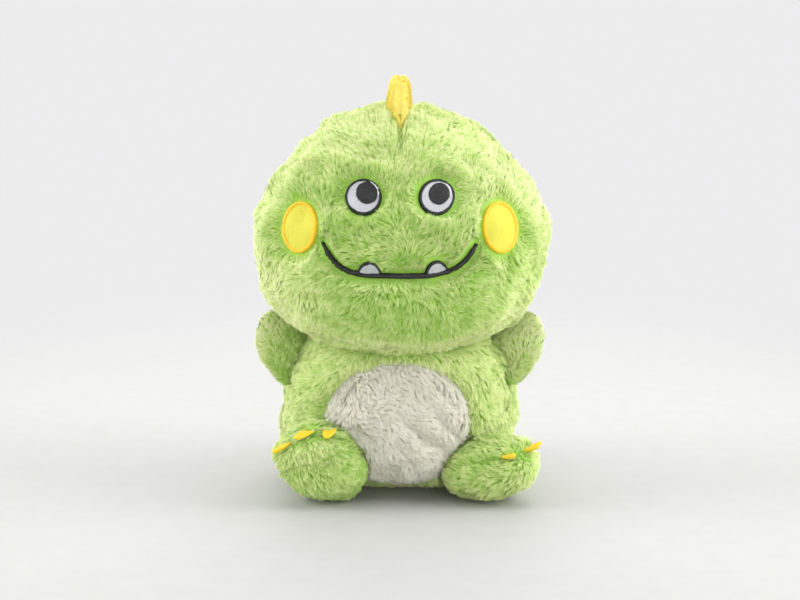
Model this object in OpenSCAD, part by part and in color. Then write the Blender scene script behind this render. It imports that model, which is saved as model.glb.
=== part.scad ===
// Seated plush dinosaur: big round head, pear-shaped body, flipper arms, egg feet and a stub tail.
// Millimetres. It faces -Y and sits on z = 0. Left and right are the toy's own: its left is +X.
// The cloth surface is drawn at the root of the pile, so the fur stands a few millimetres outside it.

/* [Head] */
// Width of the head across the cheeks
head_width = 198; // [180:1:210]
// Depth of the head from the muzzle to the nape
head_depth = 154; // [140:1:165]
// Height of the crown above the floor
crown_height = 273; // [265:1:285]

/* [Neck] */
// Radius of the ball of filling that the head turns and nods on
neck_radius = 57; // [50:1:58]
// How far the neck seam rises towards the back
neck_tilt = 10; // [0:1:14]
// Height of the neck ball's centre above the floor
neck_height = 120; // [116:1:124]

/* [Body] */
// Width of the body at its widest
body_width = 170; // [150:1:180]
// Half size of the belly patch across
patch_half_width = 49; // [30:1:52]
// Half size of the belly patch in height
patch_half_height = 44; // [25:1:45]

/* [Arms] */
// Length of the seam that holds an arm to the body
arm_root = 40; // [30:1:44]
// How far an arm stands out from its seam
arm_length = 32; // [24:1:36]
// Thickness of a stuffed arm
arm_thickness = 15; // [8:1:18]

/* [Feet] */
// Width of a foot
foot_width = 58; // [46:1:62]
// Length of a foot from heel to toe
foot_length = 66; // [54:1:70]
// Thickness of a foot from sole to instep
foot_height = 44; // [34:1:46]
// How far the left foot turns out
left_foot_turn = 50; // [0:1:60]
// How far the left foot's toes point up
left_foot_rise = 14; // [0:1:50]
// How far the right foot turns out
right_foot_turn = 20; // [0:1:60]
// How far the right foot's toes point up
right_foot_rise = 48; // [0:1:50]

/* [Tail] */
// Radius of the tail's root, seen from above
tail_root = 28; // [22:1:30]
// Half height of the tail's root
tail_rise = 23; // [18:1:24]
// Length of the tail behind its seam
tail_length = 47; // [36:1:60]

/* [Crest and spikes] */
// Length of the crest along the head
crest_length = 60; // [40:1:66]
// Height of the crest
crest_height = 25; // [15:1:30]
// Thickness of a stuffed spike
spike_thickness = 16; // [8:1:18]

/* [Face] */
// Distance between the centres of the eyes
eye_spacing = 48; // [40:1:56]
// Diameter of an eye with its outline
eye_diameter = 24; // [16:1:26]
// Distance of a cheek patch from the middle of the face
cheek_offset = 67; // [60:1:72]
// Width of the mouth between its ends
mouth_width = 100; // [80:1:108]
// Width of the embroidered mouth line
mouth_stroke = 3.2; // [2:0.2:5]

/* [Cloth and cord] */
// Thickness of the backing cloth
cloth = 2; // [1:0.5:3]
// Space between a cloth cover and its filling
fill_gap = 0.4; // [0.2:0.1:1]
// Diameter of the hanging loop's cord
cord_diameter = 2; // [1.5:0.5:3]

/* [Hidden] */

lime = [0.62, 0.83, 0.35];
warm_white = [0.93, 0.92, 0.88];
lemon = [0.99, 0.88, 0.12];
amber = [0.98, 0.72, 0.08];
satin_grey = [0.72, 0.72, 0.74];
satin_black = [0.03, 0.03, 0.03];
filling = [0.96, 0.96, 0.95];
clear_cord = [0.92, 0.93, 0.93];

left = 1;
right = -1;
around = 40;                        // points round the head and body
neck = [0, -31, neck_height];
run_gap = 2.0;                      // running space round the neck ball
neck_axis = [0, -sin(neck_tilt), cos(neck_tilt)];
neck_back = [0, cos(neck_tilt), sin(neck_tilt)];

// Half width, front and back of the head at each height, from the neck seam to the crown.
head_mid_y = -47;
head_rows = [
    [122, 69, -91, 29.5], [130, 80, -107, 30], [140, 90, -117, 30], [152, 97, -123, 30],
    [166, 98.5, -124, 30], [180, 99, -123, 29.5], [194, 97.5, -121, 28.5], [208, 92.5, -115, 25.5],
    [222, 86, -112, 21], [236, 76, -108, 16], [248, 65, -99, 9], [258, 53, -87, 1],
    [266, 38, -74, -11], [271, 20, -60, -26], [272.6, 6, -48, -38]
];
// The same for the body, from the floor to the neck seam.
body_rows = [
    [0, 58, -50, 60], [6, 70, -64, 68], [16, 78, -76, 75], [32, 83, -84, 83],
    [48, 85, -89, 88], [62, 84, -91, 80], [78, 81, -91, 63], [94, 75, -91, 43], [111, 62.5, -91, 29]
];

// ---- small helpers ----

function flatten(list) = [for (row = list) for (item = row) item];
function clamp(v, low, high) = max(low, min(high, v));
function signed_pow(v, e) = sign(v) * pow(abs(v), e);
function unit(v) = v / norm(v);
function mean(points) = [for (k = [0:2]) [for (p = points) p[k]] * [for (p = points) 1] / len(points)];
function column(rows, k) = [for (row = rows) [row[0], row[k]]];
function turn_x(p, a) = [p[0], p[1] * cos(a) - p[2] * sin(a), p[1] * sin(a) + p[2] * cos(a)];
function turn_z(p, a) = [p[0] * cos(a) - p[1] * sin(a), p[0] * sin(a) + p[1] * cos(a), p[2]];

// Two triangles for each cell of a grid of points; wrapped rows or columns join up with the first.
// Crossed cells are cut along their other diagonal.
function grid_faces(rows, cols, wrap_rows = false, wrap_cols = true, crossed = false) = flatten([
    for (i = [0:rows - (wrap_rows ? 1 : 2)], j = [0:cols - (wrap_cols ? 1 : 2)])
        let (a = i * cols + j, b = i * cols + (j + 1) % cols,
             d = ((i + 1) % rows) * cols + j, c = ((i + 1) % rows) * cols + (j + 1) % cols)
            crossed ? [[a, d, b], [b, d, c]] : [[a, c, b], [a, d, c]]
]);

// Closed skin over a stack of rings, with a cap at each end.
module skin(rings, crossed = false) {
    m = len(rings[0]);
    k = len(rings);
    caps = [for (j = [0:m - 1]) each [
        [k * m, j, (j + 1) % m],
        [k * m + 1, (k - 1) * m + (j + 1) % m, (k - 1) * m + j]
    ]];
    polyhedron(concat(flatten(rings), [mean(rings[0]), mean(rings[k - 1])]),
               concat(grid_faces(k, m, crossed = crossed), caps), convexity = 8);
}

// Closed band whose last ring joins its first, such as an embroidered outline.
module hoop(rings) {
    polyhedron(flatten(rings), grid_faces(len(rings), len(rings[0]), wrap_rows = true), convexity = 8);
}

// Cloth panel: each row runs over the outside and comes back along the inside.
module cloth_panel(outer, inner) {
    k = len(outer);
    n = len(outer[0]);
    m = 2 * n;
    rings = [for (i = [0:k - 1]) concat(outer[i], [for (j = [n - 1:-1:0]) inner[i][j]])];
    hems = [for (j = [0:n - 2]) let (a = j, b = j + 1, c = m - 2 - j, d = m - 1 - j, e = (k - 1) * m)
        each [[a, b, c], [a, c, d], [e + a, e + c, e + b], [e + a, e + d, e + c]]];
    polyhedron(flatten(rings), concat(grid_faces(k, m), hems), convexity = 8);
}

// ---- head and body surfaces ----

// Point of a rounded ring; blunt is 2 for an ellipse and more for a squarer one.
function ring_point(half_width, front, back, a, inset, blunt_front, blunt_back) =
    let (n = sin(a) < 0 ? blunt_front : blunt_back, middle = (front + back) / 2,
         half_depth = (back - front) / 2)
        [(half_width - inset) * signed_pow(cos(a), 2 / n),
         middle + (half_depth - inset) * signed_pow(sin(a), 2 / n)];

// Puts a ring's point at its height, tilted with the neck seam by the given share.
function lifted(p, z, share) = [p[0], p[1], z + tan(neck_tilt) * share * (p[1] - neck[1])];

function head_width_scale() = head_width / 198;
function head_depth_scale() = head_depth / 154;
function head_z(z) = z < 180 ? z : 180 + (z - 180) * (crown_height - 180) / (273 - 180);
function head_share(z) = clamp((178 - z) / 56, 0, 1);
function head_point(row, a, inset) =
    let (p = ring_point(row[1] * head_width_scale(),
                        head_mid_y + (row[2] - head_mid_y) * head_depth_scale(),
                        head_mid_y + (row[3] - head_mid_y) * head_depth_scale(),
                        a, inset, 1.85, 2.1))
        lifted(p, head_z(row[0]) - inset * clamp((row[0] - 200) / 72, 0, 1), head_share(row[0]));

function body_share(z) = clamp((z - 80) / 32, 0, 1);
function body_point(row, a, inset) =
    lifted(ring_point(row[1] * body_width / 170, row[2], row[3], a, inset, 2.1, 2.1),
           row[0], body_share(row[0]));

// Ring of the neck ball's surface at an angle down from its pole.
function ball_ring(radius, down) = [for (j = [0:around - 1])
    let (a = 360 * j / around)
        neck + radius * (cos(down) * neck_axis + sin(down) * (cos(a) * [1, 0, 0] + sin(a) * neck_back))];

// Point of the face at x and height z, raised off the cloth.
face_rows = [for (row = head_rows) let (p = head_point(row, 270, 0)) [p[2], row[1], row[2], row[3]]];
function face_point(x, z, raise) =
    let (w = lookup(z, column(face_rows, 1)) * head_width_scale(),
         front = lookup(z, column(face_rows, 2)), back = lookup(z, column(face_rows, 3)),
         middle = head_mid_y + ((front + back) / 2 - head_mid_y) * head_depth_scale(),
         depth = (back - front) / 2 * head_depth_scale())
        [x, middle - depth * pow(1 - pow(abs(x) / w, 1.85), 1 / 1.85) - raise, z];

chest_rows = [for (row = body_rows) let (p = body_point(row, 270, 0)) [p[2], row[1], row[2], row[3]]];
function chest_point(x, z, raise) =
    let (w = lookup(z, column(chest_rows, 1)) * body_width / 170,
         front = lookup(z, column(chest_rows, 2)), back = lookup(z, column(chest_rows, 3)))
        [x, (front + back) / 2 - (back - front) / 2 * pow(1 - pow(abs(x) / w, 2.1), 1 / 2.1) - raise, z];

// ---- hollows in the body, where the feet and the tail sit ----

body_heart = [0, -6, 62];
foot_room = 9;
tail_room = 3.5;
foot_axes = [foot_width / 2, foot_length / 2, foot_height / 2];
tail_seat = [0, 79, 25];

function foot_turn(side) = side == left ? left_foot_turn : -right_foot_turn;
function foot_rise(side) = side == left ? left_foot_rise : right_foot_rise;
function foot_half_height(side) =
    norm([foot_axes[1] * sin(foot_rise(side)), foot_axes[2] * cos(foot_rise(side))]);
function foot_place(side) = side == left ? [63, -71, 0.4 + foot_half_height(left)]
                                         : [-54, -80, 0.4 + foot_half_height(right)];

function over(p, axes) = [p[0] / axes[0], p[1] / axes[1], p[2] / axes[2]];
function in_foot(p, side, room) =
    over(turn_x(turn_z(p - foot_place(side), -foot_turn(side)), foot_rise(side)),
         foot_axes + room * [1, 1, 1]);
function in_tail(p, room) =
    over(p - tail_seat, [tail_root + room, tail_root + room, tail_rise + room]);

// Share of the way from u to w at which the line leaves the unit ball.
function leaving(u, w) = let (d = w - u, a = d * d, b = u * d, c = u * u - 1)
    c >= 0 ? 0 : (-b + sqrt(b * b - a * c)) / a;
function dented(p, inset) =
    p + (body_heart - p) * max(
        leaving(in_foot(p, left, foot_room + inset), in_foot(body_heart, left, foot_room + inset)),
        leaving(in_foot(p, right, foot_room + inset), in_foot(body_heart, right, foot_room + inset)),
        leaving(in_tail(p, tail_room + inset), in_tail(body_heart, tail_room + inset)));

// Rows half-way between the given ones, so that hollows and curves come out smooth.
function between(rows) = [for (i = [0:len(rows) - 2]) each [rows[i], (rows[i] + rows[i + 1]) / 2]];
fine_body_rows = concat(between(body_rows), [body_rows[len(body_rows) - 1]]);

function body_side(row, side, inset) = [for (j = [0:20])
    let (a = side == left ? -90 + 9 * j : 90 + 9 * j) dented(body_point(row, a, inset), inset)];

// ---- head ----

function head_arc(row, from, to, steps, inset) =
    [for (j = [0:steps]) head_point(row, from + (to - from) * j / steps, inset)];

module head_panel(from, to, steps) {
    color(lime)
        cloth_panel([for (row = head_rows) head_arc(row, from, to, steps, 0)],
                    [for (row = head_rows) head_arc(row, from, to, steps, cloth)]);
}

module face_panel() { head_panel(180, 360, 20); }
module head_back_left() { head_panel(0, 90, 10); }
module head_back_right() { head_panel(90, 180, 10); }

// The filling, with the cup underneath that sits on the neck ball.
module head_stuffing() {
    cup = [for (down = [10:16:90]) ball_ring(neck_radius + run_gap, down)];
    shell = [for (row = head_rows) [for (j = [0:around - 1])
        head_point(row, 360 * j / around, cloth + fill_gap)]];
    color(filling) skin(concat(cup, shell));
}

// ---- face ----

// Outline of a patch, seen from the front, at a share of its size.
function oval(x, z, half_x, half_z, lean, share, points) = [for (j = [0:points - 1])
    let (a = 360 * j / points, u = half_x * share * cos(a), v = half_z * share * sin(a))
        [x + u * cos(lean) - v * sin(lean), z + u * sin(lean) + v * cos(lean)]];
function on_face(outline, raise) = [for (p = outline) face_point(p[0], p[1], raise)];
function on_chest(outline, raise) =
    [for (p = outline) dented(chest_point(p[0], p[1], raise), -1.2 - raise)];

eye_height = 215;
cheek_height = 194;
cheek_half = [12, 17];
satin = 1.2;                        // height of raised embroidery
face_lift = 0.7;

function eye_oval(side, share) =
    oval(side * eye_spacing / 2, eye_height, eye_diameter / 2, eye_diameter / 2, 0, share, 24);
function pupil_shift(side) = side == left ? [0.7, 1.2] : [2.6, 1.8];
function pupil_oval(side, share) =
    oval(side * eye_spacing / 2 + pupil_shift(side)[0], eye_height + pupil_shift(side)[1],
         eye_diameter * 0.27, eye_diameter * 0.27, 0, share, 20);
function cheek_oval(side, share) =
    oval(side * cheek_offset, cheek_height, cheek_half[0], cheek_half[1], side * 8, share, 24);

module face_disc(outlines, low, high) {
    n = len(outlines);
    skin(concat([for (i = [0:n - 1]) on_face(outlines[i], low)],
                [for (i = [n - 1:-1:0]) on_face(outlines[i], high)]));
}

module face_ring(inner, outer, low, high) {
    hoop([on_face(inner, low), on_face(outer, low), on_face(outer, high), on_face(inner, high)]);
}

module eye_white(side) {
    color(satin_grey) face_disc([for (s = [0.3, 0.6, 0.88]) eye_oval(side, s)], face_lift, face_lift + satin);
}
module eye_outline(side) {
    color(satin_black) face_ring(eye_oval(side, 0.9), eye_oval(side, 1), face_lift, face_lift + 1.5 * satin);
}
module eye_pupil(side) {
    low = face_lift + satin + 0.1;
    color(satin_black) face_disc([for (s = [0.5, 1]) pupil_oval(side, s)], low, low + satin / 2);
}
// Thread highlight at the pupil's upper outer edge.
module eye_glint(side) {
    low = face_lift + 1.5 * satin + 0.3;
    centre = [side * eye_spacing / 2, eye_height] + pupil_shift(side) + eye_diameter * [0.13, 0.13];
    color(warm_white) face_disc([for (s = [0.5, 1])
        oval(centre[0], centre[1], 2.2, 1.1, -45, s, 12)], low, low + satin / 3);
}

module cheek_patch(side) {
    color(lemon) face_disc([for (s = [0.3, 0.6, 0.84]) cheek_oval(side, s)], face_lift, face_lift + cloth);
}
module cheek_border(side) {
    color(amber) face_ring(cheek_oval(side, 0.86), cheek_oval(side, 1), face_lift, face_lift + cloth);
}

// Middle of the mouth line: a wide shallow bowl with a flat bottom, as x and height.
mouth_bottom = 164;
mouth_rise = 20;
mouth_bend = 5;                     // more makes the bottom flatter and the ends steeper
function mouth_height(x) = mouth_bottom + mouth_rise * pow(abs(2 * x / mouth_width), mouth_bend);
function mouth_middle(t) = [t * mouth_width / 2, mouth_height(t * mouth_width / 2)];
function mouth_side(t, offset) =
    let (along = unit(mouth_middle(t + 0.01) - mouth_middle(t - 0.01)))
        mouth_middle(t) + offset * [-along[1], along[0]];

module mouth_line() {
    half = mouth_stroke / 2;
    color(satin_black) skin([for (i = [-16:16]) let (t = i / 16, w = half * (1 - 0.5 * pow(abs(t), 6)))
        concat(on_face([mouth_side(t, -w), mouth_side(t, w)], face_lift),
               on_face([mouth_side(t, w), mouth_side(t, -w)], face_lift + satin))]);
}

tooth_middle = [-20, 24];
tooth_half = [7, 8.5];
function tooth_arc(x, share) = [for (j = [0:12]) let (a = 15 * j, across = x + tooth_half[0] * share * cos(a))
    [across, mouth_height(across) + mouth_stroke / 2 + 0.6 + tooth_half[1] * share * sin(a)]];

module tooth(x) {
    color(satin_grey) face_disc([for (s = [0.4, 0.8]) tooth_arc(x, s)], face_lift, face_lift + satin);
}
module tooth_left() { tooth(tooth_middle[1]); }
module tooth_right() { tooth(tooth_middle[0]); }

module tooth_outlines() {
    color(satin_black) for (x = tooth_middle)
        skin([for (j = [0:12]) let (a = tooth_arc(x, 0.84)[j], b = tooth_arc(x, 1)[j])
            concat(on_face([b, a], face_lift), on_face([a, b], face_lift + satin))]);
}

// ---- crest and spikes ----

// A stuffed petal that stands on its base: long in y, thin in x, rising in z.
// The sag follows the curve of the cloth that the base is sewn along.
function spike_rings(length, height, thick, sag, inset) = [for (i = [0:5])
    let (t = sin(15 * i) * 0.985, rise = (height - inset) * t,
         shrink = pow(1 - pow(t, 2.6), 1 / 2.6), belly = 0.62 + 0.38 * sin(min(1, 2.2 * t) * 90))
        [for (j = [0:15]) let (a = 22.5 * j,
                               y = (length / 2 - inset) * shrink * signed_pow(sin(a), 0.85))
            [(thick / 2 * belly - inset) * shrink * signed_pow(cos(a), 1.15),
             y, rise - sag * pow(2 * y / length, 2) * (1 - t)]]];

module spike_shell(length, height, thick, sag) {
    inner = spike_rings(length, height, thick, sag, cloth);
    color(lemon) skin(concat([for (i = [5:-1:0]) inner[i]], spike_rings(length, height, thick, sag, 0)));
}
module spike_filling(length, height, thick, sag) {
    lift = 0.6 * sag;
    color(filling) translate([0, 0, lift])
        skin(spike_rings(length, height - lift, thick, sag, cloth + 3 * fill_gap));
}

// Where each spike stands on the centre seam: y, z, lean back, length, height, sag.
crest_seat = [-50, 273.2, -6, crest_length, crest_height, 5.5];
nape_upper_seat = [19.6, 236.4, 60, 44, 18, 4.5];
nape_lower_seat = [31.2, 170, 90, 50, 17, 1];
back_upper_seat = [41.4, 106.8, 60, 32, 14, 0];
back_lower_seat = [79.5, 69, 43, 26, 13, 1];

module at_seat(seat) { translate([0, seat[0], seat[1]]) rotate([-seat[2], 0, 0]) children(); }
module seated_shell(seat) { at_seat(seat) spike_shell(seat[3], seat[4], spike_thickness, seat[5]); }
module seated_filling(seat) { at_seat(seat) spike_filling(seat[3], seat[4], spike_thickness, seat[5]); }

module crest_shell() { seated_shell(crest_seat); }
module crest_stuffing() { seated_filling(crest_seat); }
module nape_spike_upper_shell() { seated_shell(nape_upper_seat); }
module nape_spike_upper_stuffing() { seated_filling(nape_upper_seat); }
module nape_spike_lower_shell() { seated_shell(nape_lower_seat); }
module nape_spike_lower_stuffing() { seated_filling(nape_lower_seat); }
module back_spike_upper_shell() { seated_shell(back_upper_seat); }
module back_spike_upper_stuffing() { seated_filling(back_upper_seat); }
module back_spike_lower_shell() { seated_shell(back_lower_seat); }
module back_spike_lower_stuffing() { seated_filling(back_lower_seat); }

// ---- hanging loop ----

// The cord's route, from the seam out to the bend and back into the seam.
loop_route = [
    [0, -2, 264.5], [0, 2, 266.5], [0, 8, 268], [0, 14, 268.5], [0, 20, 269], [0, 26, 269],
    [0, 32, 268.5], [0, 36, 267.5], [0, 38.5, 265], [0, 38.5, 262], [0, 36, 260], [0, 31, 259.5],
    [0, 25, 260], [0, 19, 260.5], [0, 13, 260.8], [0, 8, 261]
];
function route_way(i) = unit(loop_route[min(i + 1, len(loop_route) - 1)] - loop_route[max(i - 1, 0)]);

module hanging_loop() {
    color(clear_cord) skin([for (i = [0:len(loop_route) - 1]) [for (j = [0:7])
        let (way = route_way(i), across = cross(way, [1, 0, 0]))
            loop_route[i] + cord_diameter / 2 * (cos(45 * j) * [1, 0, 0] - sin(45 * j) * across)]]);
}

// ---- neck ----

module neck_stuffing() {
    color(filling) translate(neck) sphere(r = neck_radius, $fn = 64);
}

// ---- body ----

base_cloth = 2;
side_rows = [for (row = fine_body_rows) if (row[0] > base_cloth) row];

module body_half(side) {
    color(lime)
        cloth_panel([for (row = side_rows) body_side(row, side, 0)],
                    [for (row = side_rows) body_side(row, side, cloth)]);
}
module body_left() { body_half(left); }
module body_right() { body_half(right); }

function base_ring(share, z) = [for (j = [0:around - 1]) let (p = body_point(body_rows[0], 360 * j / around, 0))
    [p[0] * share, 5 + (p[1] - 5) * share, z]];
module body_base() {
    color(lime) skin([for (s = [0.5, 1]) base_ring(s, 0), for (s = [1.05, 0.5]) base_ring(s, base_cloth)]);
}

module belly_patch() {
    low = 0.8;
    outlines = [for (s = [0.2:0.16:1])
        oval(-1, 58, patch_half_width, patch_half_height, 0, s, around)];
    color(warm_white) skin(concat([for (i = [0:5]) on_chest(outlines[i], low)],
                                  [for (i = [5:-1:0]) on_chest(outlines[i], low + cloth)]));
}

// The filling, with the cup on top that carries the neck ball. Its wall is the cover's inside, shrunk.
module body_stuffing() {
    shrink = 2 * fill_gap / patch_half_height;
    floor_rings = [for (s = [0.5, 0.9]) base_ring(s, base_cloth + 2 * fill_gap)];
    walls = [for (row = side_rows) [for (j = [0:around - 1])
        let (p = dented(body_point(row, 360 * j / around, cloth), cloth)) p + shrink * (body_heart - p)]];
    cup = [for (down = [98, 110, 124, 138, 152, 164, 174]) ball_ring(neck_radius + run_gap, down)];
    color(filling) skin(concat(floor_rings, walls, cup), crossed = true);
}

// ---- tail ----

// Rings from the ball at its root to the tip: distance back, half width, half height, height.
tail_bulge = [for (down = [-75, -50, -25, 0])
    [tail_root * sin(down), tail_root * cos(down), tail_rise * cos(down), tail_seat[2]]];
tail_taper = [for (row = [[0.25, 0.97, 0.96, 23.5], [0.5, 0.9, 0.88, 21.5], [0.72, 0.76, 0.74, 18.5],
                          [0.9, 0.52, 0.5, 14.5], [0.98, 0.27, 0.26, 12.5], [1, 0.04, 0.04, 12.5]])
    [row[0] * tail_length, row[1] * tail_root, row[2] * tail_rise, row[3]]];
tail_rows = concat(tail_bulge, tail_taper);

function tail_arc(row, from, to, steps, inset) = [for (j = [0:steps])
    let (a = from + (to - from) * j / steps)
        [max(0.5, row[1] - inset) * sin(a), tail_seat[1] + row[0] * (1 - inset / tail_length),
         row[3] + max(0.5, row[2] - inset) * cos(a)]];

module tail_half(side) {
    from = side == left ? 0 : 180;
    color(lime) cloth_panel([for (row = tail_rows) tail_arc(row, from, from + 180, 10, 0)],
                            [for (row = tail_rows) tail_arc(row, from, from + 180, 10, cloth)]);
}
module tail_left() { tail_half(left); }
module tail_right() { tail_half(right); }
module tail_stuffing() {
    color(filling) skin([for (row = tail_rows) tail_arc(row, 0, 342, 19, cloth + fill_gap)]);
}

// ---- arms ----

// Left arm's seam: its middle, and the way it runs up over the shoulder.
arm_seam = [77, -40, 95];
arm_up = unit([-17, 8, 36]);
arm_out = unit(cross([0, 1, 0], arm_up) + [0, -0.1, 0]);
arm_fore = cross(arm_up, arm_out);

// Out from the seam, middle along the seam, half length, half thickness, as shares of the arm's sizes.
arm_rows = [
    [-0.1, 0, 0.44, 0.3], [0, 0, 0.5, 0.55], [0.15, 0.02, 0.53, 0.85], [0.35, 0.07, 0.52, 1],
    [0.58, 0.13, 0.45, 1], [0.78, 0.18, 0.36, 0.85], [0.92, 0.21, 0.24, 0.6], [0.985, 0.22, 0.11, 0.28],
    [1, 0.22, 0.03, 0.08]
];
function arm_arc(row, from, to, steps, inset) = [for (j = [0:steps])
    let (a = from + (to - from) * j / steps,
         shrink = 1 - inset / arm_length,
         along = row[1] * arm_root + max(0.5, row[2] * arm_root - inset) * cos(a),
         thick = max(0.3, row[3] * arm_thickness / 2 - inset) * sin(-a))
        arm_seam + arm_out * row[0] * arm_length * shrink + arm_up * along + arm_fore * thick];

module arm_panel(from) {
    color(lime) cloth_panel([for (row = arm_rows) arm_arc(row, from, from + 180, 9, 0)],
                            [for (row = arm_rows) arm_arc(row, from, from + 180, 9, cloth)]);
}
module arm_filling() {
    color(filling) skin([for (row = arm_rows) arm_arc(row, 0, 340, 17, cloth + fill_gap)]);
}

module arm_left_front() { arm_panel(180); }
module arm_left_back() { arm_panel(0); }
module arm_left_stuffing() { arm_filling(); }
module arm_right_front() { mirror([1, 0, 0]) arm_panel(180); }
module arm_right_back() { mirror([1, 0, 0]) arm_panel(0); }
module arm_right_stuffing() { mirror([1, 0, 0]) arm_filling(); }

// ---- feet ----

foot_seam = -8;                     // how far below the foot's middle, in degrees, its seam runs

function foot_ring(up, inset) = [for (j = [0:23]) let (a = 15 * j)
    [(foot_axes[0] - inset) * cos(up) * cos(a), (foot_axes[1] - inset) * cos(up) * sin(a),
     (foot_axes[2] - inset) * sin(up)]];

module at_foot(side) {
    translate(foot_place(side)) rotate([0, 0, foot_turn(side)]) rotate([-foot_rise(side), 0, 0]) children();
}
module foot_upper(side) {
    color(lime) at_foot(side)
        skin(concat([for (up = [82:-18:foot_seam]) foot_ring(up, cloth)],
                    [for (up = [foot_seam:18:82]) foot_ring(up, 0)]));
}
module foot_sole(side) {
    color(lime) at_foot(side)
        skin(concat([for (up = [-80:18:foot_seam]) foot_ring(up, 0)],
                    [for (up = [foot_seam:-18:-80]) foot_ring(up, cloth)]));
}
module foot_filling(side) {
    color(filling) at_foot(side) skin([for (up = [-80:16:80]) foot_ring(up, cloth + fill_gap)]);
}

// Claws side by side over the toe end, each a flat wedge: length, width and thickness.
claw = [13, 8, 2.4];
// Where each one sits, as degrees aside from the toe and above the foot's middle.
function claw_places(side) = side == left ? [[-29, 18], [12, 21], [46, 22]]
                                          : [[-33, -14], [-4, -3], [24, 11]];
module foot_claws(side) {
    color(amber) at_foot(side) for (place = claw_places(side)) {
        p = [foot_axes[0] * sin(place[0]) * cos(place[1]), -foot_axes[1] * cos(place[0]) * cos(place[1]),
             foot_axes[2] * sin(place[1])];
        out = unit(over(over(p, foot_axes), foot_axes));
        translate(p + out * 0.3) rotate([0, acos(out[2]), atan2(out[1], out[0])]) linear_extrude(claw[2])
            polygon([[-claw[0] / 2, -claw[1] / 2], [-claw[0] / 2, claw[1] / 2], [claw[0] / 2, 0]]);
    }
}

face_panel();
head_back_left();
head_back_right();
head_stuffing();
eye_white(left);  // eye_left_white
eye_outline(left);  // eye_left_outline
eye_pupil(left);  // eye_left_pupil
eye_glint(left);  // eye_left_glint
eye_white(right);  // eye_right_white
eye_outline(right);  // eye_right_outline
eye_pupil(right);  // eye_right_pupil
eye_glint(right);  // eye_right_glint
cheek_patch(left);  // cheek_left_patch
cheek_border(left);  // cheek_left_border
cheek_patch(right);  // cheek_right_patch
cheek_border(right);  // cheek_right_border
mouth_line();
tooth_left();
tooth_right();
tooth_outlines();
crest_shell();
crest_stuffing();
nape_spike_upper_shell();
nape_spike_upper_stuffing();
nape_spike_lower_shell();
nape_spike_lower_stuffing();
hanging_loop();
neck_stuffing();
body_left();
body_right();
body_base();
belly_patch();
body_stuffing();
back_spike_upper_shell();
back_spike_upper_stuffing();
back_spike_lower_shell();
back_spike_lower_stuffing();
tail_left();
tail_right();
tail_stuffing();
arm_left_front();
arm_left_back();
arm_left_stuffing();
arm_right_front();
arm_right_back();
arm_right_stuffing();
foot_upper(left);  // foot_left_upper
foot_sole(left);  // foot_left_sole
foot_filling(left);  // foot_left_stuffing
foot_claws(left);  // foot_left_claws
foot_upper(right);  // foot_right_upper
foot_sole(right);  // foot_right_sole
foot_filling(right);  // foot_right_stuffing
foot_claws(right);  // foot_right_claws
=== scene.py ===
"""Seated plush dinosaur: stuffed forms, each under its own pile of separate tufts, and a stitched face.

Lengths are in millimetres up to new_mesh(), which makes metres of them. The toy faces -Y, and its own
left is +X. A "form" is the backing cloth over its filling; the pile stands on it as real blades.
"""

import math

import bpy
import numpy as np
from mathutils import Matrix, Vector
from mathutils.bvhtree import BVHTree
from mathutils.kdtree import KDTree


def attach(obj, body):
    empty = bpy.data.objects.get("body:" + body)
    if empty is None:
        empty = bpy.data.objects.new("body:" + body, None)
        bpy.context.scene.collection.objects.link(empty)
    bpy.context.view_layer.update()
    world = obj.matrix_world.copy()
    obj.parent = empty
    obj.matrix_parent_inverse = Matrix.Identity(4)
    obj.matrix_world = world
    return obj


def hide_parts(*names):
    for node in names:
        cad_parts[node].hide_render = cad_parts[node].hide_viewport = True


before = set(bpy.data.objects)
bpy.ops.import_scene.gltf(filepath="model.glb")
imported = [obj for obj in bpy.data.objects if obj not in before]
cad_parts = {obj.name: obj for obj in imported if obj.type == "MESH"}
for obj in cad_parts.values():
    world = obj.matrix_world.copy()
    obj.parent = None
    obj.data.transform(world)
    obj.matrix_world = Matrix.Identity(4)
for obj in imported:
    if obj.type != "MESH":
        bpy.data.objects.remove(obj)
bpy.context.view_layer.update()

MM = 0.001
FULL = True
DENSITY = 3.2 if FULL else 1.6  # tufts to the square millimetre
TUFT_WIDTH = 0.5 if FULL else 0.7
FULL_PILE = 7  # length of pile for which the tufts' bends and strays are given
LOCK_AREA = 2.4  # square millimetres of cloth whose tufts cling together in one lock
LOCK_PULL = (0.12, 0.42)  # how far a tuft's middle and tip go towards those of its lock's leader
ROOM_LIGHT = 0.60  # how strongly the walls light the toy, as a share of how bright they look
VOXEL, CLOTH_FRAMES, CLOTH_CAP = 5, 12, 2.5  # mesh size, length and greatest movement of the cloth
CUT_LARGE = 0.07  # how much wider the cloth is cut than its filling, so that it wrinkles
CLOTH_FLOOR, PILE_FLOOR = 0.8, 0.3  # lowest places of the backing cloth and of the pile on it
LEFT, RIGHT = 1, -1
SIDES = {"left": LEFT, "right": RIGHT}
CLOTH_SKIN = "OFBake"  # the pile's UV layer: across is the tuft's shade, up is root to tip


def placed(thing):
    """Puts an object in the scene."""
    bpy.context.scene.collection.objects.link(thing)
    return thing


# ---- camera, floor and light ----

# Metres, degrees below level, and millimetres of lens.
CAMERA_PLACE, CAMERA_DOWN, CAMERA_LENS = (0, -1.1, 0.27), 7.1, 67.3


def make_camera():
    """The front view's camera: a little above the head, looking slightly down."""
    data = bpy.data.cameras.new("camera")
    data.sensor_width = 36
    data.lens = CAMERA_LENS
    camera = placed(bpy.data.objects.new("camera", data))
    camera.location = CAMERA_PLACE
    camera.rotation_euler = (math.radians(90 - CAMERA_DOWN), 0, 0)
    bpy.context.scene.camera = camera


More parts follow.
